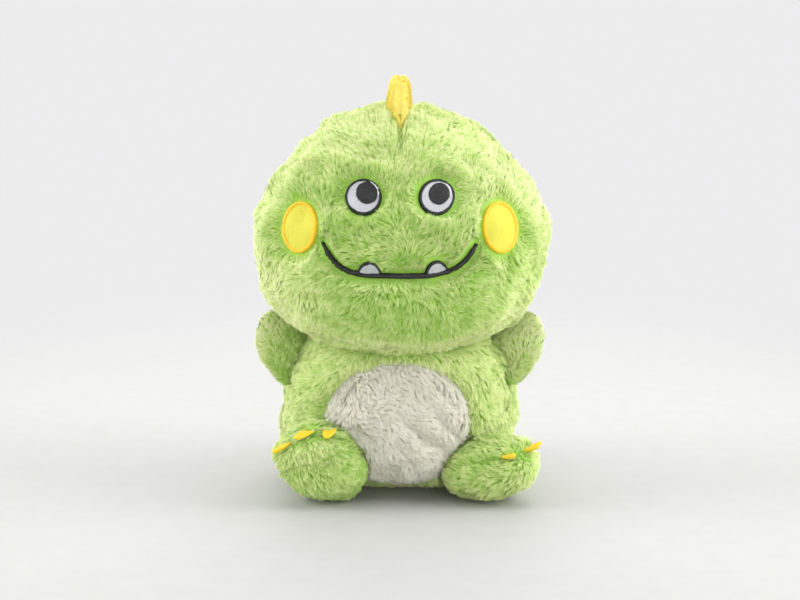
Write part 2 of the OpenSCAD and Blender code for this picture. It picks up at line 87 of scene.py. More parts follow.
def make_light(name, place, aim, size, power):
    """A soft rectangular light that the camera doesn't see itself."""
    data = bpy.data.lights.new(name, "AREA")
    data.shape = "RECTANGLE"
    data.size, data.size_y = size
    data.energy = power
    light = placed(bpy.data.objects.new(name, data))
    light.location = place
    light.rotation_euler = (Vector(aim) - Vector(place)).to_track_quat("-Z", "Y").to_euler()
    light.visible_camera = False


def make_lights():
    """A pale room, a soft key on each side, one light above, one behind and a weak front fill."""
    make_light("key_left", (1.3, -0.35, 0.75), (0, 0, 0.15), (1.0, 1.2), 17)
    make_light("key_right", (-1.3, -0.2, 0.7), (0, 0, 0.15), (1.0, 1.2), 15)
    make_light("top", (0.1, 0.1, 1.5), (0, 0, 0.1), (1.4, 1.4), 10)
    make_light("back", (0, 1.5, 0.7), (0, 0, 0.15), (1.6, 1.0), 12)
    make_light("front", (0.2, -1.6, 0.3), (0, 0, 0.09), (1.8, 0.5), 6.5)
    world = bpy.data.worlds.new("room")
    world.use_nodes = True
    nodes = world.node_tree.nodes
    seen = nodes.new("ShaderNodeLightPath").outputs["Is Camera Ray"]
    strength = nodes.new("ShaderNodeMapRange")
    strength.inputs["To Min"].default_value = ROOM_LIGHT
    strength.inputs["To Max"].default_value = 1.0
    world.node_tree.links.new(seen, strength.inputs["Value"])
    world.node_tree.links.new(strength.outputs["Result"], nodes["Background"].inputs["Strength"])
    nodes["Background"].inputs["Color"].default_value = (0.845, 0.838, 0.85, 1)
    bpy.context.scene.world = world
    bpy.context.scene.view_settings.view_transform = "Standard"


# ---- node materials ----


MATERIALS = {}  # every material made here, by its name


class Nodes:
    """Short way to build one material's node tree."""

    def __init__(self, name):
        self.material = MATERIALS[name] = bpy.data.materials.new(name)
        self.material.use_nodes = True
        self.tree = self.material.node_tree
        self.shader = self.tree.nodes["Principled BSDF"]

    def add(self, kind, inputs=None, **settings):
        node = self.tree.nodes.new(kind)
        for key, value in settings.items():
            setattr(node, key, value)
        for key, value in (inputs or {}).items():
            self.feed(node.inputs[key], value)
        return node

    def feed(self, socket, value):
        if isinstance(value, bpy.types.NodeSocket):
            self.tree.links.new(value, socket)
        else:
            socket.default_value = value

    def surface(self, **values):
        for key, value in values.items():
            self.feed(self.shader.inputs[key.replace("_", " ")], value)

    def ramp(self, factor, stops):
        node = self.add("ShaderNodeValToRGB", {"Fac": factor})
        while len(node.color_ramp.elements) < len(stops):
            node.color_ramp.elements.new(0.5)
        for element, (place, colour) in zip(node.color_ramp.elements, stops):
            element.position = place
            element.color = (*colour, 1)
        return node.outputs["Color"]

    def mix(self, factor, a, b, blend="MIX"):
        node = self.add("ShaderNodeMix", data_type="RGBA", blend_type=blend)
        for socket, value in zip((node.inputs[0], node.inputs[6], node.inputs[7]), (factor, a, b)):
            self.feed(socket, value)
        return node.outputs[2]

    def math(self, operation, a, b=0.0, clamp=False):
        node = self.add("ShaderNodeMath", operation=operation, use_clamp=clamp)
        self.feed(node.inputs[0], a)
        self.feed(node.inputs[1], b)
        return node.outputs[0]

    def noise(self, scale, detail=2.0, roughness=0.5, stretch=None):
        where = self.add("ShaderNodeTexCoord").outputs["Object"]
        if stretch:
            where = self.add("ShaderNodeMapping", {"Vector": where, "Scale": stretch}).outputs[0]
        values = {"Vector": where, "Scale": scale, "Detail": detail, "Roughness": roughness}
        return self.add("ShaderNodeTexNoise", values).outputs["Fac"]

    def bump(self, height, distance, strength=0.6):
        values = {"Height": height, "Distance": distance, "Strength": strength}
        return self.add("ShaderNodeBump", values).outputs["Normal"]


def pile_material(name, roots, tips):
    """Long pile: tone across the UV layer, root to tip up it; the deeper roots are partly painted shade
    deep in the pile.
    """
    n = Nodes(name)
    uv = n.add("ShaderNodeUVMap", uv_map=CLOTH_SKIN).outputs["UV"]
    split = n.add("ShaderNodeSeparateXYZ", {"Vector": uv})
    root = n.ramp(split.outputs["X"], roots)
    tip = n.ramp(split.outputs["X"], tips)
    # roots deeper than tips: partly the pile's own colour, partly painted shade deep in the pile
    height = n.math("POWER", split.outputs["Y"], 1.2, clamp=True)
    n.surface(
        Base_Color=n.mix(height, root, tip),
        Roughness=0.85,
        Sheen_Weight=0.25,
        Sheen_Roughness=0.5,
        Sheen_Tint=(0.95, 1.0, 0.8, 1),
        Specular_IOR_Level=0.15,
    )


def backing_material(name, dark, light):
    """Knitted backing cloth, seen only between tufts."""
    n = Nodes(name)
    knit = n.noise(900, 3)
    tone = n.ramp(knit, [(0.3, dark), (0.7, light)])
    n.surface(Base_Color=tone, Roughness=0.95, Normal=n.bump(knit, 0.0006))


def velboa_material():
    """Short yellow pile: deeper and paler in soft streaks that run one way, with a fine grain."""
    n = Nodes("yellow_velboa")
    brushed = n.noise(38, 4, 0.6, stretch=(1, 1, 0.6))
    grain = n.noise(1300, 2)
    tone = n.ramp(brushed, [
        (0.25, (0.94, 0.76, 0.06)), (0.55, (0.97, 0.84, 0.12)), (0.8, (1.0, 0.91, 0.24)),
    ])
    tone = n.mix(0.25, tone, n.ramp(grain, [(0.35, (0.90, 0.72, 0.06)), (0.65, (1.0, 0.95, 0.40))]))
    n.surface(
        Base_Color=tone,
        Roughness=0.8,
        Sheen_Weight=0.35,
        Sheen_Roughness=0.45,
        Sheen_Tint=(1, 0.95, 0.6, 1),
        Specular_IOR_Level=0.2,
        Normal=n.bump(grain, 0.0005, 0.5),
    )


def satin_material(name, deep, bright, roughness=0.42):
    """Rows of shiny thread: a painted highlight on the crown of each stitch, and painted shade between the
    threads.
    """
    n = Nodes(name)
    uv = n.add("ShaderNodeUVMap", uv_map=CLOTH_SKIN).outputs["UV"]
    row = n.add("ShaderNodeSeparateXYZ", {"Vector": uv}).outputs["X"]
    wave = n.math("ABSOLUTE", n.math("SINE", n.math("MULTIPLY", row, math.pi)))
    fray = n.noise(700, 3)
    height = n.math("ADD", n.math("MULTIPLY", wave, 0.7), n.math("MULTIPLY", fray, 0.3))
    # painted highlight on the stitch crowns and painted shade in the gaps between threads
    tone = n.ramp(height, [(0.1, deep), (0.75, bright)])
    n.surface(
        Base_Color=tone,
        Roughness=roughness,
        Specular_IOR_Level=0.45,
        Normal=n.bump(height, 0.0002, 0.5),
    )


def cord_material():
    """Clear monofilament, slightly milky."""
    n = Nodes("clear_cord")
    cloud = n.noise(260, 3)
    tone = n.ramp(cloud, [(0.3, (0.70, 0.74, 0.74)), (0.7, (0.86, 0.88, 0.88))])
    n.surface(Base_Color=tone, Roughness=0.22, Normal=n.bump(n.noise(1800, 2), 0.0001, 0.3))


FLOOR_HALF, FLOOR_GAP = 4000, 0.2  # half its side, and how far it lies under the toy
FLOOR_FADE = (0.35, 1.25)  # metres from the toy at which it begins and ends to fade


def make_floor():
    """Pale seamless floor that fades into the room's own colour far away."""
    n = Nodes("paper_floor")
    where = n.add("ShaderNodeTexCoord").outputs["Object"]
    far = n.add("ShaderNodeVectorMath", {0: where}, operation="LENGTH").outputs["Value"]
    grain = n.noise(60, 3)
    tone = n.ramp(grain, [(0.3, (0.53, 0.53, 0.52)), (0.7, (0.55, 0.55, 0.54))])
    n.surface(Base_Color=tone, Roughness=0.7, Specular_IOR_Level=0.2)
    clear = n.add("ShaderNodeBsdfTransparent")
    span = n.add("ShaderNodeMapRange", {"Value": far, "From Min": FLOOR_FADE[0], "From Max": FLOOR_FADE[1]},
                 interpolation_type="SMOOTHSTEP")
    fade = n.add("ShaderNodeMixShader", {0: span.outputs["Result"], 1: n.shader.outputs[0],
                                         2: clear.outputs[0]})
    n.tree.links.new(fade.outputs[0], n.tree.nodes["Material Output"].inputs["Surface"])
    square = np.array([[-1, -1, 0], [1, -1, 0], [1, 1, 0], [-1, 1, 0]])
    floor = new_mesh("floor", square * FLOOR_HALF, np.array([[0, 1, 2, 3]]), "paper_floor", smooth=False)
    floor.location.z = -FLOOR_GAP * MM


# ---- meshes ----


def new_mesh(name, points, faces, material, uv=None, normals=None, smooth=True):
    """Mesh object from points in millimetres; every face has the same number of corners."""
    mesh = bpy.data.meshes.new(name)
    mesh.vertices.add(len(points))
    mesh.vertices.foreach_set("co", (np.asarray(points, float) * MM).astype(np.float32).ravel())
    count, corners = faces.shape
    mesh.loops.add(count * corners)
    mesh.loops.foreach_set("vertex_index", faces.astype(np.int32).ravel())
    mesh.polygons.add(count)
    mesh.polygons.foreach_set("loop_start", np.arange(0, count * corners, corners, dtype=np.int32))
    mesh.polygons.foreach_set("use_smooth", np.full(count, smooth))
    mesh.update(calc_edges=True)
    if uv is not None:
        layer = mesh.uv_layers.new(name=CLOTH_SKIN)
        layer.uv.foreach_set("vector", uv[faces.ravel()].astype(np.float32).ravel())
    if normals is not None:
        mesh.normals_split_custom_set_from_vertices(normals)
    mesh.materials.append(MATERIALS.get(material))
    return placed(bpy.data.objects.new(name, mesh))


def unit(v):
    return v / np.maximum(np.linalg.norm(v, axis=-1, keepdims=True), 1e-9)


def circle(count):
    """Evenly spread angles of a whole turn."""
    return np.linspace(0, 2 * math.pi, count, endpoint=False)


def corners(points, tris):
    """The first, second and third corner of every triangle."""
    return (points[tris[:, k]] for k in range(3))


def halved(quads):
    """The two triangles of every four-cornered face, first halves first."""
    return np.concatenate([quads[:, [0, 1, 2]], quads[:, [0, 2, 3]]])


def grid_quads(rows, cols, wrap_rows=False, wrap_cols=True):
    """Faces of a grid of points, row after row; wrapped rows or columns join up with the first."""
    i = np.arange(rows if wrap_rows else rows - 1)[:, None]
    j = np.arange(cols if wrap_cols else cols - 1)[None, :]
    a, b = i * cols + j, i * cols + (j + 1) % cols
    d, c = (i + 1) % rows * cols + j, (i + 1) % rows * cols + (j + 1) % cols
    return np.stack([a, b, c, d], -1).reshape(-1, 4)


class Form:
    """A closed stack of rings, with what scattering and stitching need to know about it."""

    def __init__(self, rings):
        rings = np.asarray(rings, float)
        self.rows, self.cols = rings.shape[:2]
        caps = np.array([rings[0].mean(0), rings[-1].mean(0)])
        self.points = np.concatenate([rings.reshape(-1, 3), caps])
        low, high = self.rows * self.cols, self.rows * self.cols + 1
        j = np.arange(self.cols)
        k = (j + 1) % self.cols
        top = (self.rows - 1) * self.cols
        ends = [np.stack([np.full_like(j, low), k, j], -1),
                np.stack([np.full_like(j, high), top + j, top + k], -1)]
        self.tris = np.concatenate([halved(grid_quads(self.rows, self.cols)), *ends])
        if self.volume() < 0:
            self.tris = self.tris[:, ::-1]

    def volume(self):
        a, b, c = corners(self.points, self.tris)
        return np.einsum("ij,ij->i", a, np.cross(b, c)).sum() / 6

    def middles(self):
        """The middle of every triangle."""
        return self.points[self.tris].mean(1)

    def normals(self):
        a, b, c = corners(self.points, self.tris)
        face = np.cross(b - a, c - a)
        total = np.zeros_like(self.points)
        for k in range(3):
            np.add.at(total, self.tris[:, k], face)
        return unit(total)

    def press(self, depth):
        """Moves every point along its normal by depth, which is negative for a hollow."""
        self.points = self.points + self.normals() * np.asarray(depth)[:, None]
        return self

    def stand(self):
        """Flattens what would hang below the floor."""
        self.points[:, 2] = np.maximum(self.points[:, 2], CLOTH_FLOOR)
        return self

    def tree(self):
        return BVHTree.FromPolygons(self.points.tolist(), self.tris.tolist())

    def piece(self, name, material):
        return new_mesh(name, self.points, self.tris, material)


def evaluated(thing):
    return thing.evaluated_get(bpy.context.evaluated_depsgraph_get())


def skin_points(mesh):
    flat = np.empty(len(mesh.vertices) * 3, np.float32)
    mesh.vertices.foreach_get("co", flat)
    return flat.reshape(-1, 3).astype(float) / MM


def simulated_cloth(form):
    """Coarse skin of a form before and after its cloth, cut a little large, swells in a simulation."""
    shape = form.piece("settling", "")
    voxels = shape.modifiers.new("voxels", "REMESH")
    voxels.voxel_size = VOXEL * MM
    skin = shape.copy()
    skin.data = bpy.data.meshes.new_from_object(evaluated(shape))
    skin.modifiers.clear()
    placed(skin)
    cloth = skin.modifiers.new("cloth", "CLOTH")
    cloth.settings.quality = 4
    cloth.settings.use_pressure = True
    cloth.settings.uniform_pressure_force = 4
    cloth.settings.shrink_min = -CUT_LARGE
    cloth.settings.effector_weights.gravity = 0
    before = skin_points(skin.data)
    for instant in range(1, CLOTH_FRAMES + 1):
        bpy.context.scene.frame_set(instant)
    after = skin_points(evaluated(skin).data)
    bpy.context.scene.frame_set(1)
    for spent in (shape, skin):
        bpy.data.objects.remove(spent)
    return before, after


NEAREST = 6  # how many points of the skin move each point of the form


def settled(form, first=0, last=None):
    """Carries the simulated rise and fall of the cloth to the form's rows from first up to last."""
    if not FULL:
        return form
    before, after = simulated_cloth(form)
    tree = KDTree(len(before))
    for k, point in enumerate(before):
        tree.insert(point, k)
    tree.balance()
    carried = np.zeros_like(form.points)
    rows = range(first * form.cols, (last or form.rows) * form.cols)
    for k in rows:
        near = tree.find_n(form.points[k], NEAREST)
        weights = np.array([1 / (gap + 0.5) for _, _, gap in near])
        carried[k] = weights @ (after - before)[[index for _, index, _ in near]] / weights.sum()
    outward = (carried * form.normals()).sum(1)
    swelling = np.median(outward[rows])
    outward[rows] = np.clip(outward[rows] - swelling, -CLOTH_CAP, CLOTH_CAP)
    return form.press(outward)


class Waves:
    """Smooth noise of about unit size: a sum of plane waves with random ways and lengths."""

    def __init__(self, seed, wavelength, count=18):
        rng = np.random.default_rng(seed)
        pitch = 2 * math.pi / (wavelength * rng.uniform(0.65, 1.4, count))
        self.ways = unit(rng.normal(size=(count, 3))) * pitch[:, None]
        self.phases = rng.uniform(0, 2 * math.pi, count)
        self.size = math.sqrt(2 / count)
        self.wavelength = wavelength

    def __call__(self, points):
        return np.sin(points @ self.ways.T + self.phases).sum(1) * self.size

    def slope(self, points):
        """Uphill direction, about unit size whatever the wavelength."""
        rise = np.cos(points @ self.ways.T + self.phases) @ self.ways
        return rise * self.size * self.wavelength / (2 * math.pi)


def smooth_rows(rows, steps):
    """Catmull-Rom curve through rows of numbers, with this many points from each to the next."""
    rows = np.asarray(rows, float)
    padded = np.concatenate([[2 * rows[0] - rows[1]], rows, [2 * rows[-1] - rows[-2]]])
    out = []
    for i in range(len(rows) - 1):
        a, b, c, d = padded[i : i + 4]
        for t in np.arange(steps) / steps:
            out.append(0.5 * (2 * b + (c - a) * t + (2 * a - 5 * b + 4 * c - d) * t**2
                              + (3 * b - a - 3 * c + d) * t**3))
    out.append(rows[-1])
    return np.array(out)


def bell(distance, width):
    return np.exp(-((distance / width) ** 2))


def step(value, low, high):
    """Smooth rise from 0 at low to 1 at high."""
    t = np.clip((value - low) / (high - low), 0, 1)
    return t * t * (3 - 2 * t)


def seam_dent(away, deep, width, puff, beside, spread):
    """Cloth pulled in along a seam, and puffed out at some way beside it."""
    return puff * bell(away - beside, spread) - deep * bell(away, width)


# ---- the toy's sizes, as in the CAD ----

NECK = np.array([0, -31, 120.0])
NECK_TILT = math.radians(10)
NECK_RADIUS = 57
NECK_AXIS = np.array([0, -math.sin(NECK_TILT), math.cos(NECK_TILT)])
NECK_BACK = np.array([0, math.cos(NECK_TILT), math.sin(NECK_TILT)])
SEAM_Y = -47  # the seam from ear to ear over the head
PANEL_SPLIT_Z = 186  # where each panel's pile is cut in two pieces, to keep the pieces small

# Height, half width, front and back of the head and the body.
HEAD_ROWS = [
    (117, 62, -87, 28.5), (122, 70, -93, 29.5), (130, 81, -108, 30), (140, 90, -117, 30),
    (152, 97, -123, 30), (166, 98.5, -124, 30), (180, 99, -123, 29.5), (194, 97.5, -121, 28.5),
    (208, 92.5, -115, 25.5),
    (222, 86, -112, 21), (236, 76, -108, 16), (248, 65, -99, 9), (258, 53, -87, 1),
    (266, 38, -74, -11), (271, 20, -60, -26), (272.6, 6, -48, -38),
]
BODY_ROWS = [
    (0, 58, -24, 60), (6, 70, -47, 68), (16, 78, -70, 75), (32, 83, -84, 83),
    (48, 85, -89, 88), (62, 84, -91, 80), (78, 81, -91, 63), (94, 75, -91, 43), (112, 63, -91, 29),
    (117, 59, -88, 27),
]
ROW_STEPS = 8  # rings from each of these rows to the next
HEAD_AROUND, BODY_AROUND, LIMB_AROUND, ARM_AROUND = 288, 256, 96, 80  # points round each ring
HEAD_LEVEL, HEAD_TILTS = 178, 56  # the height from which rings are level, and how far below it they tilt
BODY_LEVEL, BODY_TILTS = 80, 32  # and the same upwards on the body
NECK_RINGS = 12  # rings below the neck seam that the simulation leaves alone
BODY_HEART = np.array([0, -6, 62.0])
BASE_MIDDLE = np.array([0, 5, 1.2])
FOOT_ROOM, TAIL_ROOM = 4, 2  # how far the body's backing keeps from theirs
FOLD_PITCH, FOLD_DEPTH, FOLD_WIDTH, FOLD_SLANT = 24, 3.4, 2.8, 1.2  # creases of the belly patch

FOOT_AXES = np.array([29, 33, 22.0])
FOOT_TOE = np.array([0, -30, 4.0])  # from the foot's middle; the pile lies away from it
FOOT_PLACE = {LEFT: np.array([63, -71, 23.2]), RIGHT: np.array([-54, -80, 29.0])}
FOOT_TURN = {LEFT: 50, RIGHT: -20}
FOOT_RISE = {LEFT: 14, RIGHT: 48}
FOOT_FOLD = {LEFT: 2, RIGHT: 0.72}  # how far below its middle its fold is, in its unit ball: 2 is none
FOOT_SEAM = {LEFT: (0.30, 0.05), RIGHT: (-0.05, 0.42)}  # its height over the middle, and its slant

TAIL_SEAT = np.array([0, 79, 25.0])
TAIL_ROOT, TAIL_RISE, TAIL_LENGTH = 28, 23, 47
# Shares of its length, half width and half height, and the height of the middle.
TAIL_ROWS = [(0.25, 0.97, 0.96, 23.5), (0.5, 0.9, 0.88, 21.5), (0.72, 0.76, 0.74, 18.5),
             (0.9, 0.52, 0.5, 14.5), (0.98, 0.27, 0.26, 12.5), (1, 0.04, 0.04, 12.5)]

ARM_SEAM = np.array([77, -40, 95.0])
ARM_UP = unit(np.array([-17, 8, 36.0]))
ARM_OUT = unit(np.cross([0, 1, 0], ARM_UP) + np.array([0, -0.1, 0]))
ARM_FORE = np.cross(ARM_UP, ARM_OUT)
ARM_ROOT, ARM_LENGTH, ARM_THICKNESS = 40, 32, 15
# Share of its length, then the middle, half height and thickness there as shares of its root and thickness.
ARM_ROWS = [(-0.1, 0, 0.44, 0.3), (0, 0, 0.5, 0.55), (0.15, 0.03, 0.53, 0.85), (0.35, 0.09, 0.51, 1),
            (0.58, 0.17, 0.44, 1), (0.78, 0.25, 0.35, 0.85), (0.92, 0.31, 0.24, 0.6),
            (0.985, 0.33, 0.11, 0.28), (1, 0.33, 0.03, 0.08)]
ARM_FOLD = {LEFT: 3, RIGHT: 7}  # how far its end bends forward
ARM_PANEL_DEPTH_AND_SHADE = {LEFT: 0.3, RIGHT: 0.52}  # how much darker its panels are than its rim: partly the pressed pile's deeper colour, partly painted shade

EYE_X, EYE_Z, EYE_RADIUS = 24, 215, 12
PUPIL_SHIFT = {LEFT: (1.2, 1.9), RIGHT: (2.3, 2.3)}
PUPIL_HALF, GLINT_RADIUS = (7.1, 7.3), 7.7
CHEEK_X, CHEEK_Z, CHEEK_HALF, CHEEK_LEAN = 67, 194, (12, 17), 8
MOUTH_HALF, MOUTH_BOTTOM, MOUTH_RISE, MOUTH_BEND = 50, 164, 20, 5
TOOTH_X = (-20, 24)
TOOTH_HALF = (7, 8.5)
PATCH_MIDDLE, PATCH_HALF = (-1, 58), (50, 44)
PATCH_RADIUS = 42  # turns its share of the way out into millimetres
FRONT_BLUNT, ROUND_BLUNT = 1.85, 2.1  # how square a ring is: 2 is an oval
SEAM_GAP = 0.6  # from the neck ball to the head's and the body's cup


def turned(p, axis, degrees):
    """Points turned about the x or the z axis."""
    a = math.radians(degrees)
    j, k = (1, 2) if axis == "x" else (0, 1)
    turn = np.eye(3)
    turn[j, j] = turn[k, k] = math.cos(a)
    turn[j, k], turn[k, j] = -math.sin(a), math.sin(a)
    return p @ turn.T


def with_foot(p, side):
    """Turns a foot's own directions to where the foot points."""
    return turned(turned(p, "x", -FOOT_RISE[side]), "z", FOOT_TURN[side])


def mirrored(p, side):
    """Swaps left for right on the toy's right side."""
    return p * np.array([side, 1, 1])


def blunted(wave, power):
    """A sine or cosine with its rise made blunter or sharper."""
    return np.sign(wave) * np.abs(wave) ** power


# ---- forms: backing cloth over filling ----


def ring(row, angles, blunt_front, share):
    """Rounded ring at a row's height, tilted with the neck seam by the given share."""
    z, half, front, back = row
    blunt = np.where(np.sin(angles) < 0, blunt_front, ROUND_BLUNT)
    x = half * blunted(np.cos(angles), 2 / blunt)
    y = (front + back) / 2 + (back - front) / 2 * blunted(np.sin(angles), 2 / blunt)
    return np.stack([x, y, z + math.tan(NECK_TILT) * share * (y - NECK[1])], -1)


def ball_ring(radius, down, angles):
    down = math.radians(down)
    around = np.cos(angles)[:, None] * np.array([1, 0, 0]) + np.sin(angles)[:, None] * NECK_BACK
    return NECK + radius * (math.cos(down) * NECK_AXIS + math.sin(down) * around)


def mouth_curve(t):
    return np.stack([t * MOUTH_HALF, MOUTH_BOTTOM + MOUTH_RISE * np.abs(t) ** MOUTH_BEND], -1)


def from_mouth(x, z):
    """Offset in x and z from the nearest point of the mouth line; far away where it can't matter."""
    line = mouth_curve(np.linspace(-1, 1, 80))
    offset = np.full((len(x), 2), 99.0)
    near = (np.abs(x) < MOUTH_HALF + 22) & (np.abs(z - MOUTH_BOTTOM - 8) < 40)
    gaps = np.stack([x[near], z[near]], -1)[:, None, :] - line[None]
    nearest = (gaps**2).sum(-1).argmin(1)
    offset[near] = gaps[np.arange(len(gaps)), nearest]
    return offset


def mouth_distance(x, z):
    return np.linalg.norm(from_mouth(x, z), axis=1)


def oval_distance(x, z, middle, half, lean=0):
    """1 on the oval's edge, less inside."""
    a = math.radians(lean)
    u, v = x - middle[0], z - middle[1]
    u, v = u * math.cos(a) + v * math.sin(a), v * math.cos(a) - u * math.sin(a)
    return np.hypot(u / half[0], v / half[1])


def cheek_distance(x, z, side):
    return oval_distance(x, z, (side * CHEEK_X, CHEEK_Z), CHEEK_HALF, side * CHEEK_LEAN)


def head_dents(p):
    """How far the cloth is pulled in by seams and stitching, or puffs out between them."""
    x, y, z = p.T
    front = step(-y, 60, 80)
    dent = np.zeros(len(p))
    for side in (LEFT, RIGHT):
        eye = np.hypot(x - side * EYE_X, z - EYE_Z)
        dent += front * (-2.6 * np.exp(-((eye / 14) ** 4)) + 1.6 * bell(eye - 20, 6))
        cheek = cheek_distance(x, z, side)
        dent += step(-y, 45, 60) * (-1.6 * np.exp(-(cheek**4) * 0.6) + 1.0 * bell(cheek - 1.7, 0.4))
    dent += front * seam_dent(mouth_distance(x, z), 3.6, 4.5, 1.5, 13, 7)
    across_top = 0.25 + 0.75 * step(z, 140, 190)
    dent += across_top * seam_dent(np.abs(y - SEAM_Y), 3.4, 2.6, 1.5, 10, 6)
    dent += -3.0 * bell(x, 2.6) * step(z, 236, 252) * step(-y, 60, 70)
    dent += step(y, -40, -20) * seam_dent(np.abs(x), 2.4, 2.8, 1.0, 10, 6)
    dent += 1.3 * Waves(11, 62)(p) + 0.7 * Waves(12, 26)(p)
    return dent * step(z, 112, 132)


def make_head():
    """Head form: the cup on the neck ball first, then the rows from the neck seam to the crown."""
    angles = circle(HEAD_AROUND)
    cup = [ball_ring(NECK_RADIUS + SEAM_GAP, down, angles) for down in range(10, 91, 10)]
    shell = [ring(row, angles, FRONT_BLUNT, np.clip((HEAD_LEVEL - row[0]) / HEAD_TILTS, 0, 1))
             for row in smooth_rows(HEAD_ROWS, ROW_STEPS)]
    form = Form(cup + shell)
    form.first = len(cup)
    depth = np.zeros(len(form.points))
    outside = slice(form.first * form.cols, len(form.points))
    depth[outside] = head_dents(form.points[outside])
    return settled(form.press(depth), form.first + ROW_STEPS)


def into_foot(p, side, room=0):
    """Places in a foot's own unit ball, with room round it."""
    p = turned(turned(p - FOOT_PLACE[side], "z", -FOOT_TURN[side]), "x", FOOT_RISE[side])
    return p / (FOOT_AXES + room)


def into_tail(p):
    """Places in the tail root's unit ball, with room round it."""
    return (p - TAIL_SEAT) / (np.array([TAIL_ROOT, TAIL_ROOT, TAIL_RISE]) + TAIL_ROOM)


def leaving(u, w):
    """Share of the way from u to w at which the line leaves the unit ball."""
    d = w - u
    a, b, c = (d * d).sum(-1), (u * d).sum(-1), (u * u).sum(-1) - 1
    root = np.sqrt(np.maximum(b * b - a * c, 0))
    return np.where(c >= 0, 0, (root - b) / a)


def hollowed(p):
    """Pulls the cloth in around the feet and the tail."""
    shares = [leaving(into_tail(p), into_tail(BODY_HEART))]
    for side in (LEFT, RIGHT):
        shares.append(leaving(into_foot(p, side, FOOT_ROOM), into_foot(BODY_HEART, side, FOOT_ROOM)))
    return p + (BODY_HEART - p) * np.max(shares, 0)[:, None]


def patch_distance(p):
    """1 on the belly patch's edge, less inside; the patch hangs lower than it reaches up."""
    rise = p[:, 2] - PATCH_MIDDLE[1]
    z = PATCH_MIDDLE[1] + np.where(rise < 0, rise * 0.9, rise)
    return oval_distance(p[:, 0], z, PATCH_MIDDLE, PATCH_HALF)


def body_dents(p):
    """As for the head: the back seam, the belly patch's edge, and a crease round each thigh."""
    x, y, z = p.T
    dent = step(y, -20, 0) * seam_dent(np.abs(x), 2.2, 2.8, 0.9, 10, 6)
    edge = (patch_distance(p) - 1) * PATCH_RADIUS
    dent += step(-y, 55, 70) * (-2.6 * bell(edge, 3) + 2.2 * step(-edge, 2, 14))
    thigh = np.hypot(y + 50, z - 18) - 34
    on_thigh = (1 - step(z, 34, 50)) * step(np.abs(x), 50, 66) * step(y, -60, -40)
    dent += on_thigh * seam_dent(thigh, 3.2, 4, 2.2, -13, 9)
    dent += 1.2 * Waves(21, 58)(p) + 0.6 * Waves(22, 24)(p)
    return dent * step(z, 2, 14) * (1 - step(z, 98, 112))


def belly_folds(p):
    """Slanting creases across the belly patch."""
    x, y, z = p.T
    slant = (z - PATCH_MIDDLE[1]) + FOLD_SLANT * x + 5 * Waves(23, 55)(p)
    inside = step(1 - patch_distance(p), 0.02, 0.3) * step(-y, 55, 65)
    depth = step(Waves(25, 48)(p), -0.7, 0.9)
    from_crease = np.mod(slant, FOLD_PITCH) - FOLD_PITCH / 2
    return inside * depth * (0.8 - FOLD_DEPTH * bell(from_crease, FOLD_WIDTH))


def make_body():
    """Body form: the flat base, the wall with its hollows, then the cup under the neck ball."""
    angles = circle(BODY_AROUND)
    base = ring(BODY_ROWS[0], angles, ROUND_BLUNT, 0)
    floor = [BASE_MIDDLE + (base - BASE_MIDDLE) * np.array([share, share, 0]) for share in (0.3, 0.6, 0.9)]
    wall = [hollowed(ring(row, angles, ROUND_BLUNT, np.clip((row[0] - BODY_LEVEL) / BODY_TILTS, 0, 1)))
            for row in smooth_rows(BODY_ROWS, ROW_STEPS)[1:]]
    cup = [ball_ring(NECK_RADIUS + SEAM_GAP, down, angles) for down in range(100, 167, 11)]
    form = Form(floor + wall + cup)
    form.first = len(floor)
    form.last = len(floor) + len(wall)
    depth = np.zeros(len(form.points))
    outside = slice(form.first * form.cols, form.last * form.cols)
    p = form.points[outside]
    depth[outside] = body_dents(p) + belly_folds(p)
    return settled(form.press(depth), form.first, form.last - NECK_RINGS).stand()


def foot_seam(local, side):
    """Height over the seam that holds the claws, in the foot's own unit ball."""
    height, slant = FOOT_SEAM[side]
    return local[:, 2] - height - slant * local[:, 0]


def foot_fold(local, side):
    """Height over the fold of cloth that hangs over the sole of the foot that tips up."""
    return local[:, 2] + FOOT_FOLD[side] - 1.2 * np.maximum(local[:, 0], 0) ** 2


def make_foot(side):
    """Foot form: a long ball with a seam over the toes and, on one side, a fold over the sole."""
    angles = circle(LIMB_AROUND)
    rings = []
    for up in np.radians(np.linspace(-86, 86, 60)):
        x, y = np.cos(angles) * math.cos(up), np.sin(angles) * math.cos(up)
        rings.append(np.stack([x, y, np.full_like(x, math.sin(up))], -1) * FOOT_AXES)
    form = Form(rings)
    local = form.points / FOOT_AXES
    fold = foot_fold(local, side)
    dent = seam_dent(foot_seam(local, side), 2.4, 0.08, 1.0, 0.25, 0.15)
    roll = 1.6 * step(fold, -0.02, 0.05) * (1 - step(fold, 0.05, 0.4)) - 1.8 * bell(fold + 0.06, 0.08)
    toe_end = step(-local[:, 1], -0.2, 0.5)
    dent = toe_end * dent + toe_end * roll + 0.6 * Waves(31 + side, 30)(form.points)
    settled(form.press(dent))
    form.points = with_foot(form.points, side) + FOOT_PLACE[side]
    return form.stand()


def make_tail():
    """Tail form: rings standing upright from the seam in the body back to a blunt end."""
    angles = circle(LIMB_AROUND)
    bulge = [(TAIL_ROOT * math.sin(a), TAIL_ROOT * math.cos(a), TAIL_RISE * math.cos(a), TAIL_SEAT[2])
             for a in np.radians([-75, -50, -25, 0])]
    taper = [(a * TAIL_LENGTH, b * TAIL_ROOT, c * TAIL_RISE, z) for a, b, c, z in TAIL_ROWS]
    rings = []
    for back, half, rise, z in smooth_rows(bulge + taper, 6):
        x = max(half, 0.5) * np.sin(angles)
        y = np.full_like(x, TAIL_SEAT[1] + back)
        rings.append(np.stack([x, y, z + max(rise, 0.5) * np.cos(angles)], -1))
    form = Form(rings)
    x, y, _ = form.points.T
    dent = -1.4 * bell(x, 2.2) * step(y, 90, 100) + 0.6 * Waves(41, 30)(form.points)
    return settled(form.press(dent)).stand()


